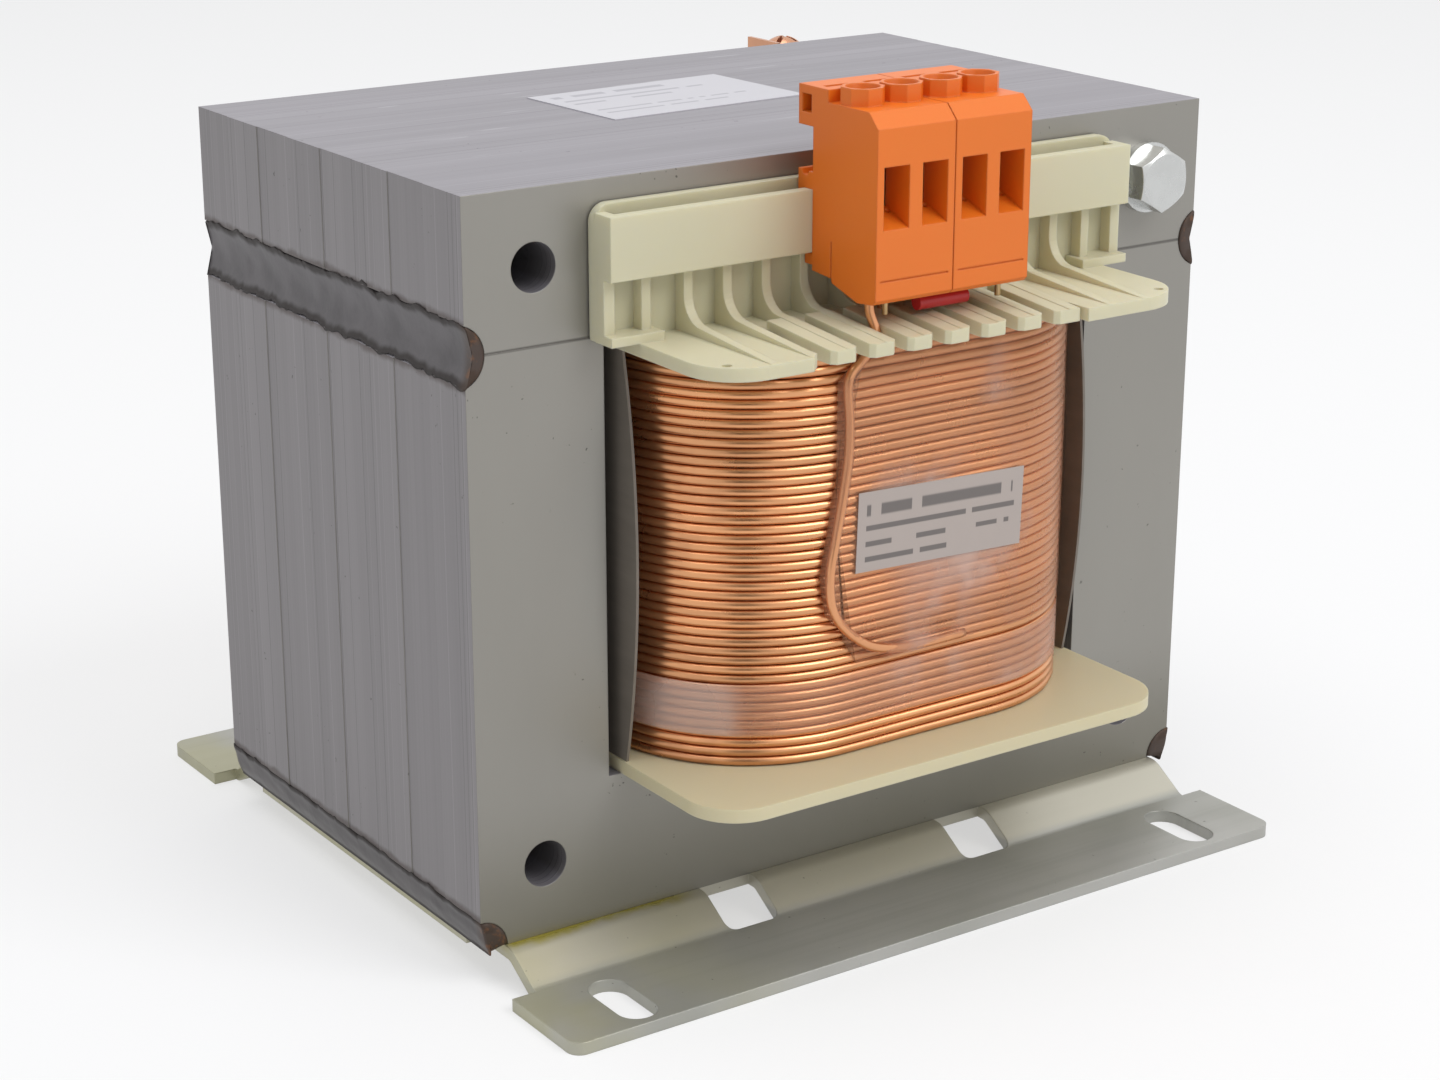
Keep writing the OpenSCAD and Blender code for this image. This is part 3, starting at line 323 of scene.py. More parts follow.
def plate_finish(front_y, plate_z):
    """Bare folded sheet, with rolling marks along its length, a painted highlight on its upper part and a
    run of yellow varnish.
    """
    f = Finish("base plate sheet", metallic=0.5, roughness=0.4)
    marks = f.noise(120.0, 4.0, 0.6, (0.06, 2.5, 1.0))
    cloud = f.noise(22.0, 3.0, 0.5)
    colour = f.mix(cloud.ramp(0.35, 0.7), (0.46, 0.455, 0.43), (0.36, 0.36, 0.325))
    colour = f.mix(marks.ramp(0.5, 0.8) * 0.35, colour, (0.30, 0.295, 0.27))
    # painted highlight: the plate is made lighter and beiger from a third of its height up, fully so
    # above half
    lit_slope = f.z.ramp(0.34 * plate_z, 0.5 * plate_z)
    colour = f.mix(lit_slope * 0.85, colour, (0.55, 0.525, 0.44))
    olive = f.x.ramp(-20.0 * MM, -72.0 * MM) * f.noise(30.0, 3.0).ramp(0.35, 0.6)
    colour = f.mix(olive * 0.6, colour, (0.42, 0.40, 0.21))
    ragged = f.noise(110.0, 4.0, 0.6) * (5.0 * MM)
    close_by = (f.y - ragged).ramp(front_y - 5.2 * MM, front_y - 2.6 * MM)
    near_top = (f.z - plate_z).ramp(-1.6 * MM, -0.6 * MM)
    in_front = f.y.ramp(front_y + 3.0 * MM, front_y + 1.0 * MM)
    on_left = f.x.ramp(-32.0 * MM, -40.0 * MM) * f.x.ramp(-71.5 * MM, -69.0 * MM)
    varnish = close_by * near_top * in_front * on_left
    colour = f.mix(varnish, colour, (0.42, 0.36, 0.05))
    specks = f.noise(800.0, 2.0).ramp(0.74, 0.78)
    colour = f.mix(specks * 0.6, colour, (0.10, 0.09, 0.08))
    f.set("Base Color", colour)
    f.set("Roughness", 0.32 + marks * 0.2 - varnish * 0.2)
    f.relief(marks, 0.03 * MM, 0.5, 0.35 * MM)
    return f.material


def former_finish(low_z, high_z):
    """Natural nylon that lets a little light through, yellower towards the winding."""
    f = Finish(
        "natural nylon", roughness=0.42, subsurface_weight=0.3, subsurface_scale=0.003,
        subsurface_radius=(1.0, 0.85, 0.5), specular_ior_level=0.4)
    cloud = f.noise(45.0, 3.0, 0.5)
    aged = f.z.ramp(high_z, low_z)
    colour = f.mix(cloud, (0.64, 0.615, 0.45), (0.59, 0.56, 0.395))
    colour = f.mix(aged * 0.6, colour, (0.63, 0.55, 0.35))
    f.set("Base Color", colour)
    f.relief(f.noise(700.0, 3.0), 0.03 * MM, 0.4, 0.35 * MM)
    return f.material


def copper_finish(name, base, pitch=None, low=0.0):
    """Enamelled copper wire, a little different from turn to turn."""
    f = Finish(name, metallic=0.9, roughness=0.28, coat_weight=0.15, coat_roughness=0.15)
    tone = 0.84 + f.noise(60.0, 3.0) * 0.32
    if pitch:
        tone = tone * (0.84 + f.step_noise((f.z - low) / pitch, 2.0) * 0.26)
    colour = f.shade(base, tone)
    burnt = f.noise(32.0, 4.0, 0.6).ramp(0.58, 0.74)
    colour = f.mix(burnt * 0.4, colour, (0.26, 0.09, 0.05))
    f.set("Base Color", colour)
    f.set("Roughness", 0.22 + f.noise(150.0, 3.0) * 0.14)
    return f.material


def film_finish(name, veil, milk, share, cloudy):
    """Thin clear film: a faint veil over the wire, with milky patches where it stands off."""
    f = Finish(name, roughness=0.3, specular_ior_level=0.35)
    patch = f.noise(30.0, 4.0, 0.6, (1.0, 1.0, 0.8))
    milky = patch.ramp(0.46, 0.66) * f.noise(18.0, 2.0).ramp(0.36, 0.56)
    f.set("Base Color", f.mix(milky, veil, milk))
    f.set("Alpha", share + milky * cloudy)
    f.relief(f.noise(70.0, 3.0, 0.5, (1.0, 1.0, 2.0)), 0.4 * MM, 0.5)
    return f.material


def liner_finish():
    """Dark insulating sheet with a faint weave."""
    f = Finish("window liner sheet", roughness=0.45)
    fibre = f.noise(220.0, 4.0, 0.6, (1.0, 0.3, 2.0))
    f.set("Base Color", f.mix(fibre, (0.20, 0.175, 0.145), (0.14, 0.12, 0.10)))
    f.relief(fibre, 0.04 * MM, 0.5)
    return f.material


def moulded_finish(name, base, edge, roughness=0.42):
    """Moulded plastic with a fine spark texture."""
    f = Finish(name, roughness=roughness, subsurface_weight=0.08, subsurface_scale=0.001)
    cloud = f.noise(55.0, 3.0)
    f.set("Base Color", f.mix(cloud, base, tinted(base, 0.93)))
    f.relief(f.noise(1600.0, 2.0), 0.012 * MM, 0.5, edge)
    return f.material


def metal_finish(name, base, roughness, edge=0.2 * MM, cloudy=0.12):
    """Plated or bare metal, a little cloudy, with softened edges."""
    f = Finish(name, metallic=0.9, roughness=roughness)
    cloud = f.noise(160.0, 4.0, 0.6)
    f.set("Base Color", f.mix(cloud, base, tinted(base, 1.0 - 2.0 * cloudy)))
    f.set("Roughness", (roughness - 0.08) + cloud * 0.18)
    f.relief(f.noise(700.0, 3.0), 0.02 * MM, 0.5, edge)
    return f.material


def paper_finish(name, base):
    """Plain paper or card with a soft grain."""
    f = Finish(name, roughness=0.5)
    f.set("Base Color", f.mix(f.noise(300.0, 3.0), base, tinted(base, 0.9)))
    return f.material


def label_finish(name, base, ink, node, turn, rows, upright):
    """Label stock with plain printed rules, turned on the label's middle."""
    f = Finish(name, roughness=0.45, coat_weight=0.1)
    low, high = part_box(node)
    middle = (low + high) / 2
    across = f.x - middle.x
    up = f.z - middle.z if upright else f.y - middle.y
    right = across * math.cos(turn) + up * math.sin(turn)
    height = up * math.cos(turn) - across * math.sin(turn)
    colour = f.mix(f.noise(300.0, 2.0), base, tinted(base, 0.96))
    for index, row in enumerate(rows):
        level, half, start, end, dash = (part * MM for part in row)
        line = abs(height - level).ramp(half * 1.25, half * 0.75)
        line = line * right.ramp(start - 0.1 * MM, start) * right.ramp(end + 0.1 * MM, end)
        gaps = f.step_noise(right / dash + 50.0, 3.0 + index).above(0.16)
        colour = f.mix(line * gaps * 0.75, colour, ink)
    f.set("Base Color", colour)
    return f.material


def dress(material, *names):
    for name in names:
        node = nodes[name]
        if not node.material_slots:
            node.data.materials.append(material)
        for slot in node.material_slots:
            slot.material = material


def numbered(name, first=1):
    return [f"{name}_{i}" for i in range(first, 5)]


core_low, core_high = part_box("e_lamination_stack")
bobbin_low, bobbin_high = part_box("bobbin")
winding_low, winding_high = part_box("secondary_winding")

STEEL = (0.245, 0.232, 0.238)
packet_depth = (core_high.y - core_low.y) / PACKETS
for letter in ("E", "I"):
    stack_finish = core_finish(f"stack of {letter} sheets", STEEL, packet_depth, core_high.z, core_low.z)
    dress(stack_finish, f"{letter.lower()}_lamination_stack")
dress(plate_finish(core_low.y, core_low.z), "base_plate")
dress(former_finish(bobbin_low.z, bobbin_high.z), "bobbin")

outer_turns = copper_finish("outer turns", (0.74, 0.36, 0.17), WIRE, winding_low.z)
lead_copper = copper_finish("lead wire", (0.70, 0.33, 0.16))
dress(copper_finish("inner turns", (0.50, 0.22, 0.11), WIRE, winding_low.z), "primary_winding")
dress(lead_copper, *numbered("lead_wire", 2))

dress(paper_finish("insulating paper", (0.62, 0.54, 0.36)), "interlayer_insulation")
dress(liner_finish(), "window_liner_left", "window_liner_right")
orange = moulded_finish("orange terminal plastic", (0.79, 0.174, 0.010), 0.4 * MM)
dress(orange, "terminal_block_left", "terminal_block_right")
dress(moulded_finish("red sleeve plastic", (0.52, 0.022, 0.025), 0.2 * MM, 0.35), "red_sleeve")

clamp_steel = metal_finish("clamp steel", (0.36, 0.31, 0.24), 0.35)
dress(clamp_steel, *numbered("clamp_cage"), *numbered("clamp_screw"))
dress(metal_finish("tinned brass", (0.60, 0.42, 0.22), 0.3), *numbered("solder_pin"))
bright_zinc = metal_finish("bright zinc", (0.66, 0.67, 0.66), 0.26)
dress(bright_zinc, "earth_bolt", "bolt_washer_front", "bolt_washer_rear", "bolt_nut", "earth_screw_nut")
dress(metal_finish("bracket zinc", (0.52, 0.52, 0.48), 0.34), "earth_bracket")
dress(metal_finish("coppered steel", (0.70, 0.36, 0.22), 0.3), "earth_screw", "earth_clamp_washer")

# Printed rules in mm: height on the label, half thickness, start, end, and the length of a dash
TOP_ROWS = [
    (9.5, 0.9, -18.0, 6.0, 2.3),
    (5.5, 0.5, -18.0, 12.0, 1.7),
    (2.5, 0.5, -18.0, 3.0, 1.9),
    (-4.5, 0.4, -18.0, 15.0, 1.3),
    (-7.5, 0.4, -18.0, 8.0, 1.5),
]
COIL_ROWS = [
    (3.6, 0.95, -15.5, 15.0, 2.1),
    (0.6, 0.45, -15.5, 15.5, 1.3),
    (-2.1, 0.45, -15.5, 1.0, 1.7),
    (-2.1, 0.4, 7.5, 14.5, 1.5),
    (-4.7, 0.45, -15.5, 2.0, 1.4),
]
top_stock = label_finish(
    "core label stock", (0.53, 0.52, 0.56), (0.30, 0.29, 0.33),
    "top_label", math.radians(3.0), TOP_ROWS, False)
coil_stock = label_finish(
    "winding label stock", (0.43, 0.37, 0.34), (0.06, 0.055, 0.055),
    "coil_label", math.radians(-2.0), COIL_ROWS, True)
dress(top_stock, "top_label")
dress(coil_stock, "coil_label")


# ---------------------------------------------------------------- pieces

def add_piece(name, mesh, material, slot, *replaced):
    """A finished mesh as a piece of the object, in place of its CAD nodes."""
    mesh.materials.clear()
    mesh.materials.append(material)
    piece = bpy.data.objects.new(name, mesh)
    bpy.context.collection.objects.link(piece)
    return enter(piece, slot, *replaced)


def enter(piece, slot, *replaced):
    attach(piece, "root")
    if replaced:
        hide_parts(*replaced)
    return piece


def smooth_step(low, high, value):
    share = min(max((value - low) / (high - low), 0.0), 1.0)
    return share * share * (3.0 - 2.0 * share)


def rings_mesh(name, rings, closed, coordinates=None):
    """Skin over rings of equally many points. Open ends are filled with a fan."""
    mesh = bpy.data.meshes.new(name)
    build = bmesh.new()
    layer = build.loops.layers.uv.new("bead") if coordinates else None
    made = [[build.verts.new(point) for point in ring] for ring in rings]
    place = {}
    if coordinates:
        for ring, marks in zip(made, coordinates):
            place.update({vertex: mark for vertex, mark in zip(ring, marks)})
    count = len(made[0])
    pairs = list(zip(made, made[1:]))
    if closed:
        pairs.append((made[-1], made[0]))
    for first, second in pairs:
        for i in range(count):
            j = (i + 1) % count
            build.faces.new((first[i], first[j], second[j], second[i]))
    if not closed:
        for ring in (made[0], made[-1]):
            middle = build.verts.new(sum((v.co for v in ring), Vector()) / count)
            if coordinates:
                place[middle] = (0.5, place[ring[0]][1])
            for i in range(count):
                build.faces.new((ring[i], ring[(i + 1) % count], middle))
    if layer:
        for face in build.faces:
            for loop in face.loops:
                loop[layer].uv = place[loop.vert]
    bmesh.ops.recalc_face_normals(build, faces=build.faces)
    build.to_mesh(mesh)
    build.free()
    mesh.polygons.foreach_set("use_smooth", [True] * len(mesh.polygons))
    return mesh


# Weld beads: rings across the bead, one for each step along the core

BEAD_STEP = 0.8 * MM
BEAD_OUTER = 22
BEAD_INNER = 8
SEAM_GROOVE_R = 5.3 * MM
SEAM_GROOVE_OUT = 1.8 * MM
SEAM_DISH_R = 11.0 * MM
BASE_GROOVE_R = 5.0 * MM
BASE_DROP = 1.2 * MM
BASE_LEAN = 1.55 * MM
BASE_DISH = 0.15 * MM
BASE_ROOT = 1.6 * MM
BEAD_SINK = 0.05 * MM


def bead_piece(name, side, outer, inner, material):
    """A bead whose outer and inner faces are functions of the way across, from -1 to 1, and of Y."""
    half_d = core_high.y
    count = int(2 * half_d / BEAD_STEP)
    # a station is its Y, its size, and how far it stands out in front, in mm
    ends = [(-half_d, 0.55, 0.42), (-half_d, 0.82, 0.36), (-half_d, 0.96, 0.20)]
    stations = [(-half_d + 2 * half_d * i / count, 1.0, 0.0) for i in range(count + 1)]
    profile = [(i * 2.0 / BEAD_OUTER - 1.0, outer) for i in range(BEAD_OUTER + 1)]
    profile += [(1.0 - i * 2.0 / BEAD_INNER, inner) for i in range(BEAD_INNER + 1)]
    rings = []
    marks = []
    for y, size, stand in ends + stations:
        points = [Vector((x, y - stand * MM, z)) for x, z in (face(u, y) for u, face in profile)]
        middle = sum(points, Vector()) / len(points)
        ring = []
        for point in points:
            x = middle.x + (point.x - middle.x) * size
            z = middle.z + (point.z - middle.z) * size
            ring.append(Vector((side * x, point.y, z)))
        rings.append(ring)
        marks.append([((u + 1.0) / 2.0, y - stand * MM) for u, face in profile])
    title = name + "_bead"
    return add_piece(title, rings_mesh(title, rings, False, marks), material, "weld", name)


def ragged_edge(y, seed, reach):
    """How far the edge of a bead wanders at Y."""
    coarse = noise.noise(Vector((y * 260.0, seed, 0.0)))
    fine = noise.noise(Vector((y * 900.0, seed, 3.0)))
    return reach * (coarse + 0.5 * fine)


def ripple(u, y, seed):
    """Shallow curved ripples across the bead, and lumps along it."""
    wave = math.sin((y / (1.5 * MM) + 0.8 * u * u) * 2.0 * math.pi)
    lump = noise.noise(Vector((y * 220.0, u * 1.5, seed)))
    return (0.035 * wave + 0.16 * lump) * MM * (1.0 - u * u)


def seam_bead(name, side, seed, material):
    """Dished bead in the round groove between the two stacks."""
    half_w = core_high.x
    seam_z = core_high.z
    chord = math.sqrt(SEAM_GROOVE_R ** 2 - SEAM_GROOVE_OUT ** 2)
    dish_out = math.sqrt(SEAM_DISH_R ** 2 - chord ** 2)

    def outer(u, y):
        edge_seed = seed + 5.0 if u > 0 else seed
        z = u * (chord + ragged_edge(y, edge_seed, 1.0 * MM))
        dish = max(0.0, math.sqrt(max(SEAM_DISH_R ** 2 - z * z, 0.0)) - dish_out)
        return half_w - dish + 0.06 * MM + ripple(u, y, seed), seam_z + z

    def inner(u, y):
        z = u * chord * 0.96
        return half_w + SEAM_GROOVE_OUT - math.sqrt(SEAM_GROOVE_R ** 2 - z * z) + BEAD_SINK, seam_z + z

    return bead_piece(name, side, outer, inner, material)


def base_bead(name, side, seed, material):
    """Leaning bead over the core's lower edge and the edge of the plate."""
    half_w = core_high.x
    core_z = core_low.z
    bead_r = (BASE_LEAN ** 2 + (BASE_GROOVE_R + BASE_DROP) ** 2) / (2 * BASE_LEAN)

    def outer(u, y):
        top = BASE_GROOVE_R + ragged_edge(y, seed, 0.8 * MM)
        z = -BASE_DROP + (u + 1.0) / 2.0 * (top + BASE_DROP)
        away = min(z, BASE_GROOVE_R) - BASE_GROOVE_R
        x = half_w - BASE_DISH - bead_r + math.sqrt(bead_r ** 2 - away ** 2)
        lip = 0.2 * MM * smooth_step(BASE_GROOVE_R - 1.5 * MM, BASE_GROOVE_R, z)
        return x + lip + ripple(u, y, seed), core_z + z

    def inner(u, y):
        z = max(-BASE_DROP, (u + 1.0) / 2.0 * (BASE_GROOVE_R * 0.96 + BASE_DROP) - BASE_DROP)
        depth = math.sqrt(BASE_GROOVE_R ** 2 - z * z) if z > 0 else BASE_ROOT
        return half_w - max(depth, BASE_ROOT) + BEAD_SINK, core_z + z

    return bead_piece(name, side, outer, inner, material)


seam_finish = bead_finish("seam weld bead", core_low.y, (0.102, 0.095, 0.100))
base_finish = bead_finish("base weld bead", core_low.y, (0.085, 0.078, 0.080))
seam_bead("seam_weld_left", -1, 1.7, seam_finish)
seam_bead("seam_weld_right", 1, 8.3, seam_finish)
base_bead("base_weld_left", -1, 14.9, base_finish)
base_bead("base_weld_right", 1, 21.1, base_finish)


# Winding: one ring of wire for each turn, on a backing of copper painted dark as the shade between them

class CoilOutline:
    """Rounded rectangle seen from above, measured from the middle of its front."""

    def __init__(self, half_x, half_y, corner):
        self.half_y = half_y
        self.corner = corner
        self.straight_x = half_x - corner
        self.straight_y = half_y - corner
        self.quarter = corner * math.pi / 2
        self.length = 4 * (self.straight_x + self.straight_y + self.quarter)

    def at(self, way):
        """Point and outward direction at a way along the outline, to the right of the front's middle."""
        half_round = [
            (self.quarter, True), (2 * self.straight_y, False),
            (self.quarter, True), (2 * self.straight_x, False)]
        way = way % self.length
        point = Vector((0.0, -self.half_y, 0.0))
        heading = 0.0
        for length, bends in [(self.straight_x, False)] + half_round + half_round:
            part = min(way, length)
            if bends:
                inward = Vector((-math.sin(heading), math.cos(heading), 0.0))
                centre = point + inward * self.corner
                heading += part / self.corner
                point = centre - Vector((-math.sin(heading), math.cos(heading), 0.0)) * self.corner
            else:
                point = point + Vector((math.cos(heading), math.sin(heading), 0.0)) * part
            way -= part
            if way <= 0.0:
                break
        return point, Vector((math.sin(heading), -math.cos(heading), 0.0))


coil_half_x = winding_high.x
coil_half_y = winding_high.y
wire_r = WIRE / 2
coil_outline = CoilOutline(coil_half_x, coil_half_y, COIL_CORNER)


def turns_piece(name, material):
    """The turns: a rounded path repeated up the coil, each a little out of line, swept with the wire."""
    shape = Shape("coil turns", {
        "Width": 2 * (coil_half_x - wire_r),
        "Depth": 2 * (coil_half_y - wire_r),
        "Corner": COIL_CORNER - wire_r,
        "Wire Radius": wire_r * 1.03,
        "Pitch": WIRE,
        "First": winding_low.z + wire_r + 0.02 * MM,
        "Turns": TURNS,
        "Spacing": 2.4 * MM,
        "Wobble": 0.30 * MM,
        "Seed": 4.0,
    })
    path = shape.node(
        "GeometryNodeCurvePrimitiveQuadrilateral", None,
        {"Width": shape.size("Width"), "Height": shape.size("Depth")})
    rounded = shape.node(
        "GeometryNodeFilletCurve", {"mode": "POLY"},
        {"Curve": path, "Radius": shape.size("Corner"), "Count": 12})
    even = shape.node(
        "GeometryNodeResampleCurve", {"mode": "LENGTH"},
        {"Curve": rounded, "Length": shape.size("Spacing")})
    rows = shape.node(
        "GeometryNodeMeshLine", None,
        {"Count": shape.size("Turns"), "Start Location": shape.join(0.0, 0.0, shape.size("First")),
         "Offset": shape.join(0.0, 0.0, shape.size("Pitch"))})
    placed = shape.node("GeometryNodeInstanceOnPoints", None, {"Points": rows, "Instance": even})
    curves = shape.node("GeometryNodeRealizeInstances", None, [placed])
    x, y, z = shape.split(shape.node("GeometryNodeInputPosition"))
    sample = shape.join(x * 34.0, y * 34.0, z * 420.0)
    drift = shape.node(
        "ShaderNodeTexNoise", {"noise_dimensions": "4D"},
        {"Vector": sample, "W": shape.size("Seed"), "Scale": 1.0, "Detail": 2.0}, out="Color")
    aside, _, up = shape.split(drift)
    wobble = shape.size("Wobble")
    size = (x * x + y * y) ** 0.5
    outward = (aside - 0.5) * wobble
    offset = shape.join(x / size * outward, y / size * outward, (up - 0.5) * wobble * 0.6)
    moved = shape.node("GeometryNodeSetPosition", None, {"Geometry": curves, "Offset": offset})
    section = shape.node(
        "GeometryNodeCurvePrimitiveCircle", None, {"Resolution": 8, "Radius": shape.size("Wire Radius")})
    wires = shape.node("GeometryNodeCurveToMesh", None, {"Curve": moved, "Profile Curve": section})
    return enter(shape.piece(name, wires, material), "copper_wire", "secondary_winding")


def backing_piece(name, material):
    """Very dark copper under the turns, painted shade for the gaps, so that nothing shows between them.
    """
    outside = CoilOutline(coil_half_x - wire_r, coil_half_y - wire_r, COIL_CORNER - wire_r)
    inside = CoilOutline(coil_half_x - 4 * wire_r, coil_half_y - 4 * wire_r, COIL_CORNER - 4 * wire_r)
    low = winding_low.z + 0.02 * MM
    high = winding_high.z - 0.6 * MM
    steps = 120
    rings = []
    for i in range(steps):
        a = outside.at(outside.length * i / steps)[0]
        b = inside.at(inside.length * i / steps)[0]
        corners = [(a, low), (a, high), (b, high), (b, low)]
        rings.append([Vector((point.x, point.y, z)) for point, z in corners])
    mesh = rings_mesh(name, rings, True)
    mesh.polygons.foreach_set("use_smooth", [False] * len(mesh.polygons))
    return add_piece(name, mesh, material, "copper_wire")


turns_piece("outer_turns", outer_turns)
# painted shade: the backing copper is coloured nearly black, for the gaps between the turns
backing_piece("coil_backing", copper_finish("copper behind the turns", (0.16, 0.07, 0.04)))


# First lead: from under the terminals down the winding's front, and into a turn

def winding_height(share):
    return winding_low.z + share * (winding_high.z - winding_low.z)


# Where the lead crosses the winding's front: X in mm, and the share of the winding's height
LEAD_ROUTE = [
    (-11.6, 1.03), (-11.8, 1.0), (-14.2, 0.966), (-16.8, 0.923), (-16.5, 0.83),
    (-16.6, 0.744), (-17.5, 0.659), (-18.7, 0.566), (-20.0, 0.455), (-18.8, 0.362),
    (-13.6, 0.285), (-8.2, 0.252), (-0.5, 0.238), (9.0, 0.236)]
LOOP_SHARE = 0.3
SINK_FROM = -9.0 * MM
SINK_TO = 9.0 * MM
LEAD_SINK = 1.15 * MM
lead_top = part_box("lead_wire_1")[1].z
lead_y = -(coil_half_y + 0.15 * MM + wire_r)


def spline(points, steps):
    """Smooth curve through the points, with steps between each pair."""
    curve = []
    last = len(points) - 1
    for i in range(last):
        a, b, c, d = points[max(i - 1, 0)], points[i], points[i + 1], points[min(i + 2, last)]
        for s in range(steps):
            t = s / steps
            curve.append(0.5 * (2 * b + (c - a) * t + (2 * a - 5 * b + 4 * c - d) * t * t
                                + (3 * b - a - 3 * c + d) * t ** 3))
    curve.append(points[-1])
    return curve


def tube_mesh(name, points, radius, sides=14):
    """Round bar along the points, with closed ends."""
    rings = []
    normal = Vector((0.0, 1.0, 0.01))
    for i, point in enumerate(points):
        along = (points[min(i + 1, len(points) - 1)] - points[max(i - 1, 0)]).normalized()
        normal = (normal - normal.dot(along) * along).normalized()
        other = along.cross(normal)
        rings.append([point + radius * (math.cos(a) * normal + math.sin(a) * other)
                      for a in (2 * math.pi * k / sides for k in range(sides))])
    return rings_mesh(name, rings, False)


lead_points = [
    Vector((-12.25 * MM, -65.2 * MM, lead_top)),
    Vector((-12.2 * MM, -65.4 * MM, lead_top - 2 * MM))]
for x_mm, share in LEAD_ROUTE:
    x = x_mm * MM
    sink = smooth_step(SINK_FROM, SINK_TO, x) * LEAD_SINK if share < LOOP_SHARE else 0.0
    lead_points.append(Vector((x, lead_y + sink, winding_height(share))))
lead_mesh = tube_mesh("lead_wire_1_drawn", spline(lead_points, 6), wire_r)
add_piece("lead_wire_1_drawn", lead_mesh, lead_copper, "copper_wire", "lead_wire_1")


# Films: closed thin sheets laid round the outline of the coil

FILM_THICK = 0.06 * MM
FILM_REST = 0.15 * MM
OVER_LEAD = 1.72 * MM


def film_sheet(name, ways, heights, lift, material, closed, replaced):
    """Sheet at a lift above the coil. A way is a number, or a function of the height."""
    rings = []
    for way in ways:
        ring = []
        for inner in (False, True):
            for z in (reversed(heights) if inner else heights):
                place = way(z) if callable(way) else way
                point, outward = coil_outline.at(place)
                gap = lift(place, z) + (0.0 if inner else FILM_THICK)
                ring.append(Vector((point.x + outward.x * gap, point.y + outward.y * gap, z)))
        rings.append(ring)
    return add_piece(name, rings_mesh(name, rings, closed), material, "film", replaced)


def levels(low, high, count):
    return [low + (high - low) * i / count for i in range(count + 1)]


def wrinkle(way, z, seed):
    return noise.noise(Vector((way * 90.0, z * 160.0, seed))) * 0.10 * MM


def lead_x(z):
    """Sideways place of the lead where it crosses a height, on its way down."""
    route = [(x * MM, winding_height(share)) for x, share in LEAD_ROUTE if share > 0.26]
    for (x0, z0), (x1, z1) in zip(route, route[1:]):
        if z1 <= z <= z0:
            return x0 + (x1 - x0) * (z - z0) / (z1 - z0)
    return route[0][0] if z > route[0][1] else route[-1][0]


film_low, film_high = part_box("cover_film")
tape_low, tape_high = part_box("binding_tape")
film_end = coil_outline.straight_x + coil_outline.quarter + 34.0 * MM


def film_edge(z):
    """Left edge of the cover film: beside the lead, and a little slanted below its loop."""
    start = winding_height(LOOP_SHARE)
    if z < start:
        return -17.0 * MM + 3.0 * MM * (start - z) / (start - film_low.z)
    return min(lead_x(z) - 1.5 * MM, -12.0 * MM) + wrinkle(0.0, z, 9.0) * 3


def over_lead(way, z):
    """Lift of the cover film, which stands off over the lead and its loop."""
    beside = 0.0
    if z > winding_height(0.285):
        beside = OVER_LEAD * (1.0 - smooth_step(0.5 * MM, 2.0 * MM, abs(way - lead_x(z))))
    above = 0.0
    if SINK_FROM < way < 11.0 * MM:
        stand = OVER_LEAD - LEAD_SINK * smooth_step(SINK_FROM, SINK_TO, way)
        above = stand * (1.0 - smooth_step(0.6 * MM, 2.2 * MM, abs(z - winding_height(0.243))))
    return max(beside, above, FILM_REST + wrinkle(way, z, 2.0))


def over_turns(way, z):
    """Lift of the binding tape."""
    return 0.06 * MM + abs(wrinkle(way, z, 5.0))


film_steps = 110
film_ways = [
    lambda z, share=i / film_steps: film_edge(z) + (film_end - film_edge(z)) * share ** 1.15
    for i in range(film_steps + 1)]
cover_stock = film_finish("cover film", (0.58, 0.27, 0.15), (0.74, 0.54, 0.46), 0.16, 0.30)
film_levels = levels(film_low.z, film_high.z, 72)
film_sheet("cover_film_laid", film_ways, film_levels, over_lead, cover_stock, False, "cover_film")

tape_steps = 180
tape_ways = [coil_outline.length * i / tape_steps for i in range(tape_steps)]
tape_stock = film_finish("binding tape film", (0.66, 0.36, 0.24), (0.76, 0.58, 0.50), 0.20, 0.16)
tape_levels = levels(tape_low.z, tape_high.z, 12)
film_sheet("binding_tape_laid", tape_ways, tape_levels, over_turns, tape_stock, True, "binding_tape")


# ---------------------------------------------------------------- stage, light and camera

def seen_directly(graph):
    """Is this a ray from the camera, or one that mirrors or refracts?"""
    path = graph.node("ShaderNodeLightPath").socket.node
    camera, glossy, through = [Value(graph, path.outputs[name]) for name in (
        "Is Camera Ray", "Is Glossy Ray", "Is Transmission Ray")]
    return camera.most(glossy).most(through)


def floor_finish():
    """Matt floor that keeps the shadow and is otherwise as bright as the background."""
    f = Finish("pale floor", roughness=0.9, specular_ior_level=0.1)
    f.set("Base Color", (0.86, 0.86, 0.87))
    lit = Value(f, f.shader.outputs[0])
    glow = f.node("ShaderNodeEmission", None, {"Color": (1.0, 1.0, 1.0), "Strength": 1.0})
    blend = f.node("ShaderNodeMixShader", None, [seen_directly(f) * 0.55, lit, glow])
    f.tree.links.new(blend.socket, f.output.inputs["Surface"])
    return f.material


def floor():
    mesh = bpy.data.meshes.new("floor")
    reach = 4.0
    corners = [(-reach, -reach, 0), (reach, -reach, 0), (reach, reach, 0), (-reach, reach, 0)]
    mesh.from_pydata(corners, [], [(0, 1, 2, 3)])
    mesh.materials.append(floor_finish())
    plane = bpy.data.objects.new("floor", mesh)
    bpy.context.collection.objects.link(plane)


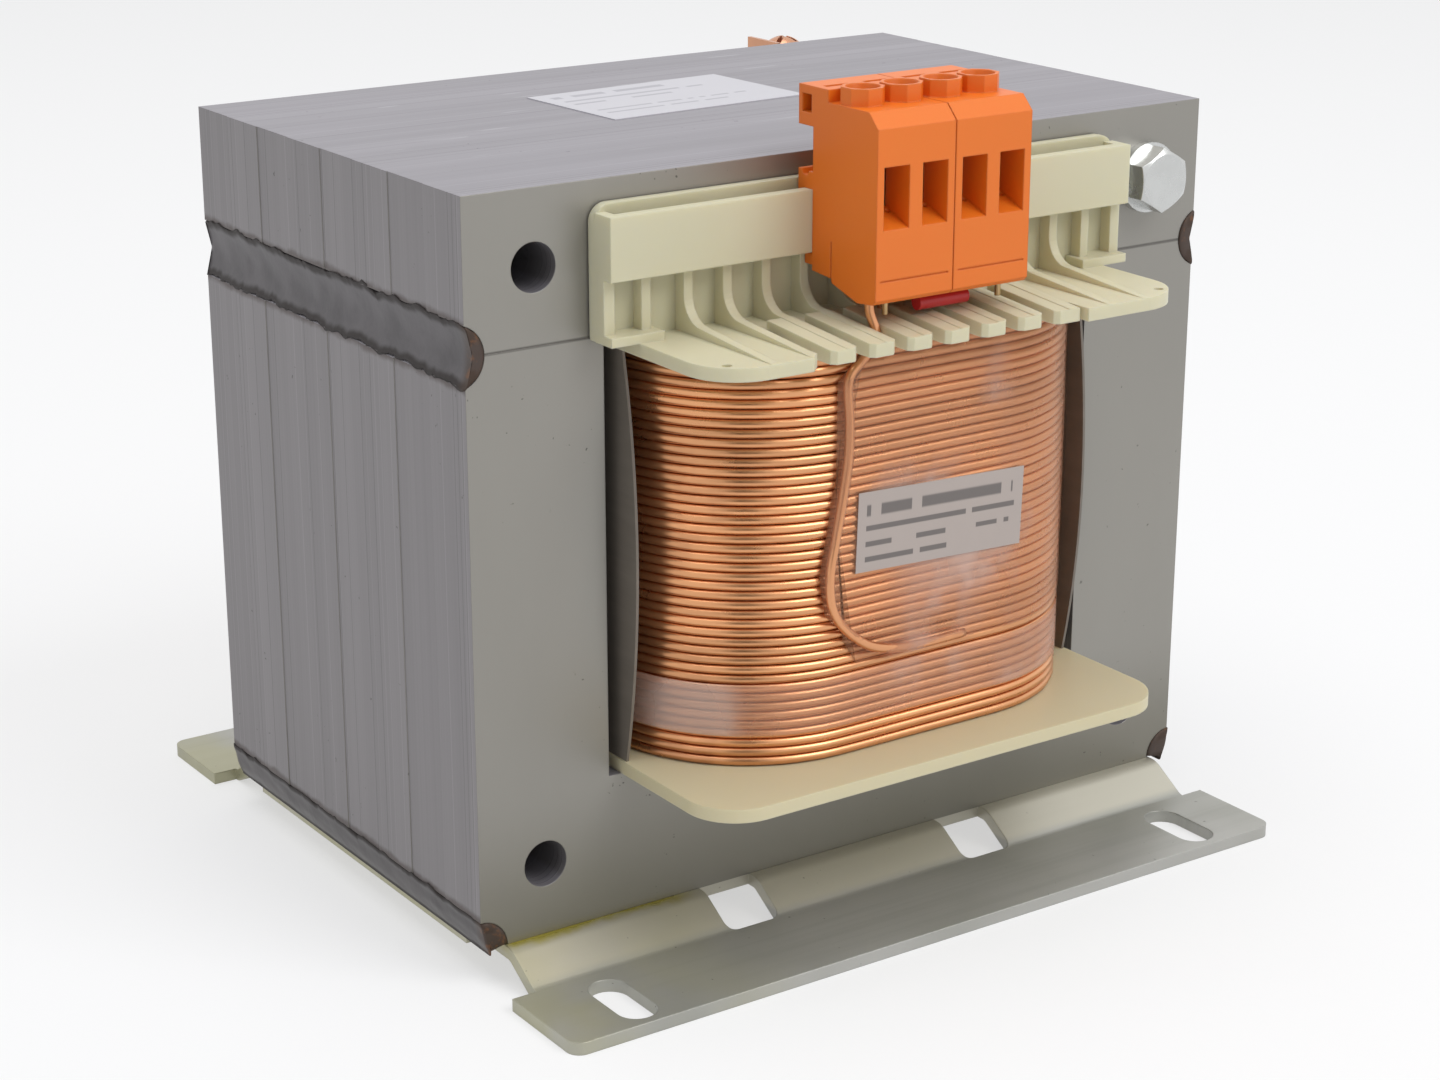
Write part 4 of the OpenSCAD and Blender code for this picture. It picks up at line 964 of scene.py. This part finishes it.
def world_light(strength):
    world = bpy.data.worlds.new("studio")
    bpy.context.scene.world = world
    world.use_nodes = True
    g = Graph(world.node_tree)
    g.tree.nodes.clear()
    output = g.tree.nodes.new("ShaderNodeOutputWorld")
    soft = g.node("ShaderNodeBackground", None, {"Color": (0.98, 0.99, 1.0), "Strength": strength})
    seen = g.node("ShaderNodeBackground", None, {"Color": (1.0, 1.0, 1.0), "Strength": 1.0})
    blend = g.node("ShaderNodeMixShader", None, [seen_directly(g), soft, seen])
    g.tree.links.new(blend.socket, output.inputs["Surface"])


def area_light(name, place, aim, size, power):
    data = bpy.data.lights.new(name, "AREA")
    data.size = size
    data.energy = power
    lamp = bpy.data.objects.new(name, data)
    lamp.location = place
    lamp.rotation_euler = (Vector(aim) - Vector(place)).to_track_quat("-Z", "Y").to_euler()
    bpy.context.collection.objects.link(lamp)


def dark_card(eye, aim):
    """The dark shape of whoever stands behind the camera: only polished surfaces mirror it."""
    f = Finish("dark card", roughness=1.0)
    f.set("Base Color", (0.012, 0.010, 0.010))
    half = 0.13
    low = -0.25
    high = 1.0
    behind = 0.12
    mesh = bpy.data.meshes.new("dark_card")
    corners = [(-half, low, 0), (half, low, 0), (half, high, 0), (-half, high, 0)]
    mesh.from_pydata(corners, [], [(0, 1, 2, 3)])
    mesh.materials.append(f.material)
    card = bpy.data.objects.new("dark_card", mesh)
    away = Vector(aim) - Vector(eye)
    away.z = 0.0
    card.location = Vector(eye) - away.normalized() * behind
    card.rotation_euler = away.to_track_quat("-Z", "Y").to_euler()
    bpy.context.collection.objects.link(card)
    card.visible_camera = False
    card.visible_diffuse = False
    card.visible_transmission = False
    card.visible_shadow = False


def camera():
    data = bpy.data.cameras.new("camera")
    data.lens = 73.1
    data.sensor_width = 36.0
    data.clip_start = 0.01
    eye = bpy.data.objects.new("camera", data)
    eye.location = (-0.2860, -0.4241, 0.2215)
    aim = Vector((-0.0185, -0.0325, 0.0630))
    eye.rotation_euler = (aim - eye.location).to_track_quat("-Z", "Y").to_euler()
    bpy.context.collection.objects.link(eye)
    bpy.context.scene.camera = eye
    dark_card(eye.location, aim)


floor()
world_light(0.55)
area_light("key", (0.5, -1.1, 1.3), (0, 0, 0.07), 0.9, 12.0)
area_light("top", (-0.2, 0.1, 1.6), (0, 0, 0.07), 1.2, 10.0)
camera()
bpy.context.scene.view_settings.view_transform = "Standard"
